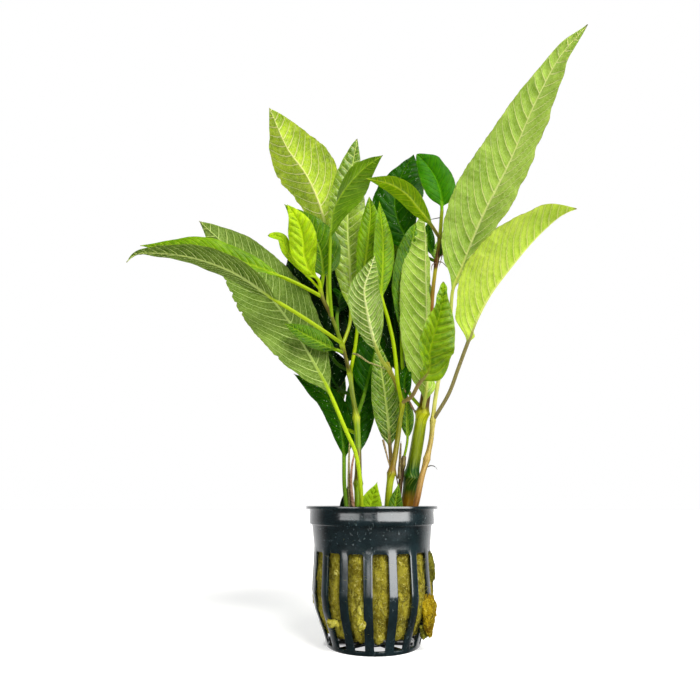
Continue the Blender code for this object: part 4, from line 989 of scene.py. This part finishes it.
def build_leaf(leaf, number, settings):
    """One leaf: a round stalk that flattens into a thin blade with raised and sunken veins."""
    route = Route(stalk_points(leaf))
    small = leaf.width < SMALL_LEAF_WIDTH
    stalk = SMALL_STALK_RADIUS if small else STALK_RADIUS
    blade_length = route.length - leaf.stalk
    spacing = blade_length / (leaf.laterals + 2)
    stalk_rings = max(6, round(leaf.stalk / STALK_RING_SPACING))
    blade_rings = round(max(blade_length / (settings.ring_spacing / MM), leaf.laterals * RINGS_PER_VEIN))
    sides = settings.leaf_sides // 2 if small else settings.leaf_sides
    bm, ring, angle = tube(sides, stalk_rings + blade_rings)
    distances = np.concatenate([np.linspace(0, leaf.stalk, stalk_rings, endpoint=False),
                                np.linspace(leaf.stalk, route.length, blade_rings)])
    middle, across, up = (np.array(rows)[ring] for rows in leaf_axes(leaf, route, distances))
    travel = distances[ring] - leaf.stalk
    share = travel / blade_length

    even = 1 - 2 * np.abs(angle) / math.pi
    side = np.sign(even) * np.abs(even) ** 1.3
    beat = number * 1.7 + np.where(even > 0, 2.1, 0.0)
    half = half_width(leaf, even, share, travel, beat)
    reach = np.maximum(half, stalk * (1 - smooth_step(0.5, 1.0, share)))
    reach = np.maximum(reach, SLIMMEST_HALF)
    blend = smooth_step(-0.03, 0.09, share)
    out = (1 - blend) * np.cos(angle) * stalk + blend * side * reach
    upward = np.sign(np.round(np.sin(angle), 6))
    edge = 0.25 + 0.75 * (1 - np.abs(side) ** 5)
    thick = settings.leaf_thickness / MM
    lift = (1 - blend) * np.sin(angle) * stalk + blend * upward * thick / 2 * edge

    out_mm = np.abs(side) * reach
    sweep = leaf.sweep * out_mm * (0.6 + 0.7 * out_mm / (leaf.width / 2))
    phase = (travel - sweep) / spacing + np.where(side > 0, 0.35, 0.0)
    off_vein = np.abs((phase + 0.5) % 1 - 0.5) * spacing
    lift -= vein_relief(stalk, share, side, out_mm, off_vein, blend, upward < 0)
    swell, sag = blade_swell(leaf, number, share, side, travel, phase, half, beat)
    lift += swell * blend + sag * blend * 0.6
    sideways, upwards = folded(leaf, share, side, out, lift)
    places = middle + across * sideways[:, None] + up * upwards[:, None]
    if leaf.hook:
        places += np.clip((share - 0.88) / 0.12, 0, 1)[:, None] ** 2 * np.array(leaf.hook)

    maps = {
        "millimetres": corner_map(out, travel),
        "veins": corner_map(phase, side),
        "place": corner_map(share, share, underside_of(angle)),
        "sizes": corner_map(np.full(len(share), spacing), share),
    }
    skin = shared_material(f"hygrophila_{leaf.look}_leaf", leaf_material, LOOKS[leaf.look])
    piece = add_piece(f"{leaf.name}_fine", bm, skin, places, maps, 60)
    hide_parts(leaf.name)


def wall_radius(height):
    for (r0, z0), (r1, z1) in zip(WALL_LINE, WALL_LINE[1:]):
        if z0 <= height <= z1:
            return r0 + (r1 - r0) * (height - z0) / (z1 - z0)
    return WALL_LINE[-1][0]


def pot_line(settings):
    """The pot's outer line from the hub to the flange's edge, as (radius, height)."""
    flange = settings.height / MM - settings.wall / MM
    floor_line = [(radius, 0.0) for radius in FLOOR_RADII]
    wall_line = [(wall_radius(height), height) for height in WALL_HEIGHTS]
    band_line = [(24.5, 44.15), (25.2, 44.3), (BAND_RADIUS, BAND_FOOT + 0.3), (BAND_RADIUS, 46.5),
                 (BAND_RADIUS, 48.5), (BAND_RADIUS, flange - 0.5), (BAND_RADIUS + 0.12, flange - 0.12),
                 (BAND_RADIUS + 0.4, flange), (settings.rim_radius / MM, flange)]
    return floor_line + wall_line + band_line


def rib_half_turn(settings, radius, level):
    """Half the angle that a rib takes up at a radius, or a spoke where the ring is in the floor."""
    half = math.asin(min(0.98, settings.rib_width / MM / 2 / max(radius, 2.0)))
    if level <= FLOOR_EDGE_RING:
        half = min(half, math.asin(min(0.9, SPOKE_WIDTH / 2 / max(radius, 2.0))))
    return min(half, SECTOR_TURN * 0.35)


def pot_point(settings, line, level, column):
    """One corner of the pot's skin, by its ring and its column; each sector has a rib, then a slot."""
    radius, height = line[level]
    sector, home = divmod(column, SECTOR)
    half = rib_half_turn(settings, radius, level)
    if home <= RIB_COLUMNS:
        across = home / RIB_COLUMNS * 2 - 1
        turn = across * half
        if FIRST_SLOT_RING < level < LAST_SLOT_RING:
            radius += RIB_CROWN * (1 - across ** 2)
    else:
        across = (home - RIB_COLUMNS) / SLOT_COLUMNS
        turn = half + across * (SECTOR_TURN - 2 * half)
    if level == LAST_SLOT_RING and home in (0, RIB_COLUMNS):
        height -= SLOT_CORNER_DROP
    turn += FIRST_RIB_TURN + sector * SECTOR_TURN
    return Vector((radius * math.cos(turn), radius * math.sin(turn), height))


def open_slots(bm, ring, column):
    """Takes out the faces between the ribs and between the spokes, and closes the hub."""
    place_of = {vert: (int(ring[i]), int(column[i])) for i, vert in enumerate(bm.verts)}
    unwanted = []
    for face in bm.faces:
        levels = sorted({place_of[vert][0] for vert in face.verts})
        columns = sorted({place_of[vert][1] for vert in face.verts})
        if len(face.verts) > 4:
            unwanted.append(face)
            continue
        first = columns[0] if columns[-1] - columns[0] == 1 else columns[-1]
        beside_rib = first % SECTOR >= RIB_COLUMNS
        beside_spoke = first % (2 * SECTOR) >= RIB_COLUMNS
        in_wall = FIRST_SLOT_RING <= levels[0] and levels[1] <= LAST_SLOT_RING
        in_floor = HUB_RING <= levels[0] and levels[1] <= FLOOR_EDGE_RING
        if in_wall and beside_rib or in_floor and beside_spoke:
            unwanted.append(face)
    bmesh.ops.delete(bm, geom=unwanted, context="FACES")
    hub_edge = [edge for edge in bm.edges
                if edge.is_boundary and all(place_of[vert][0] == 0 for vert in edge.verts)]
    bmesh.ops.holes_fill(bm, edges=hub_edge)


def build_pot(settings):
    """The net pot as one skin: hub, spokes, foot ring, ribs, band and flange, then given its wall."""
    line = pot_line(settings)
    columns = RIB_COUNT * SECTOR
    bm, ring, angle = tube(columns, len(line))
    column = np.round(angle / math.tau * columns).astype(int) % columns
    for position, vert in enumerate(bm.verts):
        vert.co = pot_point(settings, line, int(ring[position]), int(column[position]))
    open_slots(bm, ring, column)
    plastic = shared_material("hygrophila_pot_plastic", pot_material, settings.colour)
    piece = add_piece("net_pot_fine", bm, plastic, sharp=40)
    shell = piece.modifiers.new("wall", "SOLIDIFY")
    shell.thickness = settings.wall
    shell.offset = -1
    shell.use_even_offset = True
    soft = piece.modifiers.new("soft_edges", "BEVEL")
    soft.width = EDGE_ROUNDING * MM
    soft.segments = 2
    soft.limit_method = "ANGLE"
    soft.angle_limit = math.radians(50)
    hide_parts("net_pot")


def wool_radius(turn, height, swell):
    """The plug's radius at a turn and a height: it swells into the slots between the ribs."""
    in_slot = 0.5 - 0.5 * math.cos((turn - FIRST_RIB_TURN) * RIB_COUNT)
    radius = wall_radius(height) - PLUG_INSET
    if SLOT_FOOT < height < SLOT_TOP + 1:
        below_top = 1 - smooth_step(SLOT_TOP - 2, SLOT_TOP + 1, height)
        radius += swell * smooth_step(0.2, 0.9, in_slot) * below_top
    return radius


def build_rockwool():
    """The plug: a matted body that swells into the slots, with a rough base and top."""
    line = [(share, PLUG_FOOT) for share in (0.02, 0.25, 0.5, 0.75, 0.92)]
    line += [(1.0, height) for height in np.linspace(PLUG_FOOT + 0.4, PLUG_TOP - 0.4, PLUG_RINGS)]
    line += [(share, PLUG_TOP) for share in (0.94, 0.8, 0.65, 0.5, 0.35, 0.2, 0.02)]
    bm, ring, angle = tube(RIB_COUNT * PLUG_COLUMNS, len(line))
    for position, vert in enumerate(bm.verts):
        share, height = line[int(ring[position])]
        turn = float(angle[position])
        lobe = 1.0 + 0.7 * noise.noise(Vector((math.cos(turn) * 4, math.sin(turn) * 4, height * 0.16)))
        radius = wool_radius(turn, height, PLUG_SWELL * lobe) * share
        spot = Vector((radius * math.cos(turn), radius * math.sin(turn), height))
        lump = noise.fractal(spot * 0.24, 1.0, 2.2, 3) * 0.55
        rough = lump + noise.fractal(spot * 0.75, 1.0, 2.0, 4) * 0.42
        ragged = noise.fractal(Vector((spot.x * 0.35, spot.y * 0.35, 9.0)), 1.0, 2.0, 3)
        spot += Vector((math.cos(turn), math.sin(turn), 0)) * (rough if share == 1.0 else 0)
        if height == PLUG_FOOT:
            spot.z -= 2.4 * (1 - share ** 5)
        if height < PLUG_FOOT + 4:
            spot.z += ragged * 1.3
        if height > PLUG_TOP - 4:
            spot.z += ragged * 0.8 + rough
        vert.co = spot
    piece = add_piece("rockwool_fine", bm, wool("plug"), sharp=180)
    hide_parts("rockwool")


def build_tuft(name, centre, sizes, turn, kind):
    """A loose tuft of wool that hangs out between the ribs."""
    noise.seed_set(TUFT_SEED)
    bm = bmesh.new()
    bmesh.ops.create_icosphere(bm, subdivisions=6, radius=1)
    for vert in bm.verts:
        spot = vert.co.copy()
        swell = 1 + 0.35 * noise.fractal(spot * 0.9 + Vector(centre), 1.0, 2.0, 4)
        vert.co = Vector((spot.x * sizes[1], spot.y * sizes[0], spot.z * sizes[2])) * swell
        vert.co += noise.noise_vector(vert.co * 0.5 + Vector(centre)) * 0.6
        vert.co += noise.noise_vector(vert.co * 1.8 + Vector(centre)) * 0.28
    bmesh.ops.rotate(bm, verts=bm.verts, matrix=Matrix.Rotation(math.radians(turn), 3, "Z"))
    bmesh.ops.translate(bm, verts=bm.verts, vec=centre)
    piece = add_piece(f"wool_tuft_{name}", bm, wool(kind), sharp=180)


def build_strands(name, material, starts, headings, lengths, seed):
    """Many fine bent fibres as one mesh, each a three-sided tube of a few joints."""
    dice = np.random.default_rng(seed)
    count, joints = len(starts), FIBRE_JOINTS
    headings = headings / np.linalg.norm(headings, axis=1, keepdims=True)
    curl = dice.normal(size=(count, 3))
    curl -= headings * (curl * headings).sum(1, keepdims=True)
    spread = np.cross(headings, curl)
    spread /= np.linalg.norm(spread, axis=1, keepdims=True)
    along = np.linspace(0, 1, joints)
    bend = dice.uniform(0.1, 0.5, (count, 1, 1))
    spine = (starts[:, None] + headings[:, None] * (lengths[:, None] * along)[..., None]
             + curl[:, None] * bend * (lengths[:, None] * along ** 2)[..., None] * 0.5)
    spine[..., 2] -= FIBRE_DROOP * (lengths[:, None] * along ** 2)
    third = np.array([0, math.tau / 3, 2 * math.tau / 3])
    lift = np.cross(spread, headings)
    thin = FIBRE_RADIUS * (1 - 0.75 * along)[None, :, None, None]
    rings = (spine[:, :, None] + thin * (np.cos(third)[None, None, :, None] * spread[:, None, None]
                                         + np.sin(third)[None, None, :, None] * lift[:, None, None]))
    corners = rings.reshape(-1, 3)
    base = (np.arange(count) * joints * 3)[:, None, None]
    level = (np.arange(joints - 1) * 3)[None, :, None]
    turn = np.arange(3)[None, None]
    one = base + level + turn
    two = base + level + (turn + 1) % 3
    sides = np.stack([one, two, two + 3, one + 3], -1).reshape(-1, 4)
    foot = base[:, 0] + np.array([2, 1, 0])
    tip = base[:, 0] + (joints - 1) * 3 + np.array([0, 1, 2])
    faces = sides.tolist() + foot.tolist() + tip.tolist()
    mesh = bpy.data.meshes.new(name)
    mesh.from_pydata((corners * MM).tolist(), [], faces)
    mesh.materials.append(material)
    mesh.shade_smooth()
    piece = bpy.data.objects.new(name, mesh)
    bpy.context.scene.collection.objects.link(piece)
    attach(piece, "root")


def build_fibres(settings):
    """Loose fibres that lie along the plug's side and stand out of it a little."""
    dice = np.random.default_rng(7)
    count = settings.fibre_count
    turns = dice.uniform(0, math.tau, count)
    heights = dice.uniform(PLUG_FOOT, PLUG_TOP, count)
    tilts = dice.normal(0, 0.9, count)
    lifts = dice.uniform(0.02, 0.30, count)
    starts, headings = [], []
    for turn, height, tilt, lift in zip(turns, heights, tilts, lifts):
        radius = wool_radius(turn, height, PLUG_SWELL) + 0.05
        starts.append((radius * math.cos(turn), radius * math.sin(turn), height))
        side = Vector((-math.sin(turn), math.cos(turn), 0))
        out = Vector((math.cos(turn), math.sin(turn), 0))
        headings.append(side * math.sin(tilt) + Vector((0, 0, math.cos(tilt))) + out * lift)
    lengths = dice.uniform(1.2, 3.6, count)
    build_strands("rockwool_fibres", wool("yellow"), np.array(starts), np.array(headings), lengths, seed=11)


class PotSettings(bpy.types.PropertyGroup):
    height: bpy.props.FloatProperty(
        name="Height", description="Height from the foot to the rim", unit="LENGTH",
        default=POT_HIGH[2] - POT_LOW[2])
    rim_radius: bpy.props.FloatProperty(
        name="Rim radius", description="Outer radius of the flange", unit="LENGTH",
        default=(POT_HIGH[0] - POT_LOW[0]) / 2)
    wall: bpy.props.FloatProperty(
        name="Wall", description="Thickness of the plastic", unit="LENGTH", default=0.001)
    rib_width: bpy.props.FloatProperty(
        name="Rib width", description="Width of each upright rib", unit="LENGTH", default=0.0033)
    colour: bpy.props.FloatVectorProperty(
        name="Colour", description="Colour of the plastic", subtype="COLOR", size=4,
        default=paint(12, 30, 34), min=0, max=1)


class RockwoolSettings(bpy.types.PropertyGroup):
    fibre_count: bpy.props.IntProperty(
        name="Fibres", description="Loose fibres over the plug", default=4200, min=0)


class GrowthSettings(bpy.types.PropertyGroup):
    ring_spacing: bpy.props.FloatProperty(
        name="Ring spacing", description="Distance between the rings of a stem or blade", unit="LENGTH",
        default=0.0007)
    leaf_sides: bpy.props.IntProperty(
        name="Leaf sides", description="Corners round a blade", default=48, min=12)
    stem_sides: bpy.props.IntProperty(
        name="Stem sides", description="Corners round a stem", default=28, min=8)
    leaf_thickness: bpy.props.FloatProperty(
        name="Leaf thickness", description="Thickness of a blade between its veins", unit="LENGTH",
        default=0.00045)


class StageSettings(bpy.types.PropertyGroup):
    camera_place: bpy.props.FloatVectorProperty(
        name="Camera place", description="Where the camera stands", subtype="TRANSLATION", unit="LENGTH",
        default=(-0.0089, -0.232, 0.0528))
    camera_tilt: bpy.props.FloatProperty(
        name="Camera tilt", description="How far the camera looks up", subtype="ANGLE",
        default=math.radians(16.2))
    camera_lens: bpy.props.FloatProperty(
        name="Camera lens", description="Focal length on a 36 mm wide sensor", default=27.62)
    sun_strength: bpy.props.FloatProperty(
        name="Sun strength", description="Strength of the broad light from above", default=3.2)
    room_strength: bpy.props.FloatProperty(
        name="Room strength", description="Light that the pale room gives from all round", default=0.25)
    strip_strength: bpy.props.FloatProperty(
        name="Strip strength", description="Brightness of the soft boxes that the gloss mirrors", default=1.0)


def aimed(name, light, place, target):
    """A light that shines from a place to a target and isn't seen itself."""
    made = bpy.data.objects.new(name, light)
    made.location = place
    made.rotation_euler = (Vector(target) - Vector(place)).to_track_quat("-Z", "Y").to_euler()
    made.visible_camera = False
    bpy.context.scene.collection.objects.link(made)
    return made


def strip_light(name, turn, width, foot, top, radiance):
    """A soft box a metre away, seen in the gloss and left out of the matt light."""
    light = bpy.data.lights.new(name, "AREA")
    light.shape = "RECTANGLE"
    light.size = width
    light.size_y = top - foot
    light.energy = radiance * math.pi * width * (top - foot)
    middle = (foot + top) / 2
    place = (math.sin(turn), -math.cos(turn), middle)
    aimed(light.name, light, place, (0, 0, middle)).visible_diffuse = False


def build_floor(scene):
    """A pale matt floor that glows for the camera, lifting its shadow nearly to white, except under the back
    of the open pot.
    """
    bm = bmesh.new()
    bmesh.ops.create_grid(bm, x_segments=1, y_segments=1, size=FLOOR_SIZE)
    mesh = bpy.data.meshes.new("floor")
    bm.to_mesh(mesh)
    bm.free()
    tree = Tree("pale_floor")
    matt = tree.add("BsdfDiffuse", inputs={"Color": (FLOOR_GREY, FLOOR_GREY, FLOOR_GREY, 1)})
    glow = tree.add("Emission", inputs={"Strength": FLOOR_GLOW})
    lifted = tree.add("AddShader", inputs={0: matt, 1: glow})
    where = tree.place()
    off_pot = tree.step(17.0, 20.0, tree.add("VectorMath", {"operation": "LENGTH"}, {0: where}, 1))
    in_front = tree.step(1.0, -4.0, tree.part(where, 1))
    seen = tree.add("LightPath") * tree.maths("MAXIMUM", off_pot, in_front)
    mesh.materials.append(tree.finish(tree.add("MixShader", inputs={0: seen, 1: matt, 2: lifted})))
    floor = bpy.data.objects.new("floor", mesh)
    floor.visible_glossy = False
    scene.collection.objects.link(floor)


def place_camera(scene, settings):
    camera = bpy.data.cameras.new("camera")
    camera.lens = settings.camera_lens
    camera.clip_start = 0.01
    eye = bpy.data.objects.new("camera", camera)
    eye.location = settings.camera_place
    eye.rotation_euler = (math.pi / 2 + settings.camera_tilt, 0, 0)
    scene.collection.objects.link(eye)
    scene.camera = eye


def hang_lights(settings):
    """A broad light from above in front, and the soft boxes that the gloss mirrors."""
    sun = bpy.data.lights.new("sun", "SUN")
    sun.energy = settings.sun_strength
    sun.angle = SUN_SPREAD
    sun.color = SUN_COLOUR
    aimed("sun", sun, SUN_PLACE, (0, 0, 0))
    for number, (turn, width, foot, top, brightness) in enumerate(STRIPS):
        radiance = brightness * settings.strip_strength
        strip_light(f"strip_{number}", math.radians(turn), width, foot, top, radiance)


def light_room(scene, settings):
    """White to the camera, pale for the matt light, and dim in the gloss except towards the back."""
    world = bpy.data.worlds.new("pale_room")
    world.use_nodes = True
    sky = Tree(world)
    room = sky.add("Background", inputs={"Color": WHITE, "Strength": settings.room_strength})
    dim = sky.add("Background", inputs={"Color": WHITE, "Strength": MIRRORED_ROOM})
    seen = sky.add("Background", inputs={"Color": WHITE, "Strength": 1.0})
    backward = sky.part(sky.add("TexCoord"), 1)
    mirrored = sky.add("MixShader", inputs={0: sky.step(0.1, 0.7, backward), 1: dim, 2: seen})
    unseen = sky.add("MixShader", inputs={0: sky.add("LightPath", output=3), 1: room, 2: mirrored})
    sky.finish(sky.add("MixShader", inputs={0: sky.add("LightPath"), 1: unseen, 2: seen}), "World")
    scene.world = world


class HYGROPHILA_OT_pot(bpy.types.Operator):
    """Builds the slotted net pot"""
    bl_idname = "hygrophila.pot"
    bl_label = "Net Pot"

    def execute(self, context):
        build_pot(context.scene.hygrophila_pot)
        return {"FINISHED"}


class HYGROPHILA_OT_rockwool(bpy.types.Operator):
    """Builds the rockwool plug and its loose fibres"""
    bl_idname = "hygrophila.rockwool"
    bl_label = "Rockwool"

    def execute(self, context):
        build_rockwool()
        for tuft in TUFTS:
            build_tuft(*tuft)
        build_fibres(context.scene.hygrophila_rockwool)
        return {"FINISHED"}


class HYGROPHILA_OT_stems(bpy.types.Operator):
    """Builds the stems with their swollen joints"""
    bl_idname = "hygrophila.stems"
    bl_label = "Stems"

    def execute(self, context):
        for stem in STEMS:
            build_stem(stem, context.scene.hygrophila_growth)
        for twig in TWIGS:
            build_twig(*twig, context.scene.hygrophila_growth)
        return {"FINISHED"}


class HYGROPHILA_OT_leaves(bpy.types.Operator):
    """Builds every leaf with its stalk"""
    bl_idname = "hygrophila.leaves"
    bl_label = "Leaves"

    def execute(self, context):
        for number, leaf in enumerate(LEAVES):
            build_leaf(leaf, number, context.scene.hygrophila_growth)
        return {"FINISHED"}


class HYGROPHILA_OT_stage(bpy.types.Operator):
    """Sets the pale floor, the soft boxes and the camera"""
    bl_idname = "hygrophila.stage"
    bl_label = "Stage"

    def execute(self, context):
        settings = context.scene.hygrophila_stage
        build_floor(context.scene)
        place_camera(context.scene, settings)
        hang_lights(settings)
        light_room(context.scene, settings)
        context.scene.view_settings.view_transform = "Standard"
        return {"FINISHED"}


class HYGROPHILA_PT_panel(bpy.types.Panel):
    """Lists the pieces and their settings"""
    bl_idname = "HYGROPHILA_PT_panel"
    bl_label = "Hygrophila"
    bl_space_type = "VIEW_3D"
    bl_region_type = "UI"
    bl_category = "Hygrophila"

    def draw(self, context):
        for group, steps in PANEL_ROWS:
            box = self.layout.box()
            settings = getattr(context.scene, group)
            for name in settings.__annotations__:
                box.prop(settings, name)
            for step in steps:
                box.operator(step)


PANEL_ROWS = [
    ("hygrophila_pot", ["hygrophila.pot"]),
    ("hygrophila_rockwool", ["hygrophila.rockwool"]),
    ("hygrophila_growth", ["hygrophila.stems", "hygrophila.leaves"]),
    ("hygrophila_stage", ["hygrophila.stage"]),
]
GROUPS = {
    "hygrophila_pot": PotSettings,
    "hygrophila_rockwool": RockwoolSettings,
    "hygrophila_growth": GrowthSettings,
    "hygrophila_stage": StageSettings,
}
CLASSES = [*GROUPS.values(), HYGROPHILA_OT_pot, HYGROPHILA_OT_rockwool, HYGROPHILA_OT_stems,
           HYGROPHILA_OT_leaves, HYGROPHILA_OT_stage, HYGROPHILA_PT_panel]


def register():
    for kind in CLASSES:
        bpy.utils.register_class(kind)
    for name, group in GROUPS.items():
        setattr(bpy.types.Scene, name, bpy.props.PointerProperty(type=group))


def unregister():
    for name in GROUPS:
        delattr(bpy.types.Scene, name)
    for kind in reversed(CLASSES):
        bpy.utils.unregister_class(kind)


def main():
    register()
    bpy.ops.hygrophila.stage()
    bpy.ops.hygrophila.pot()
    bpy.ops.hygrophila.rockwool()
    bpy.ops.hygrophila.stems()
    bpy.ops.hygrophila.leaves()


if __name__ == "__main__":
    main()
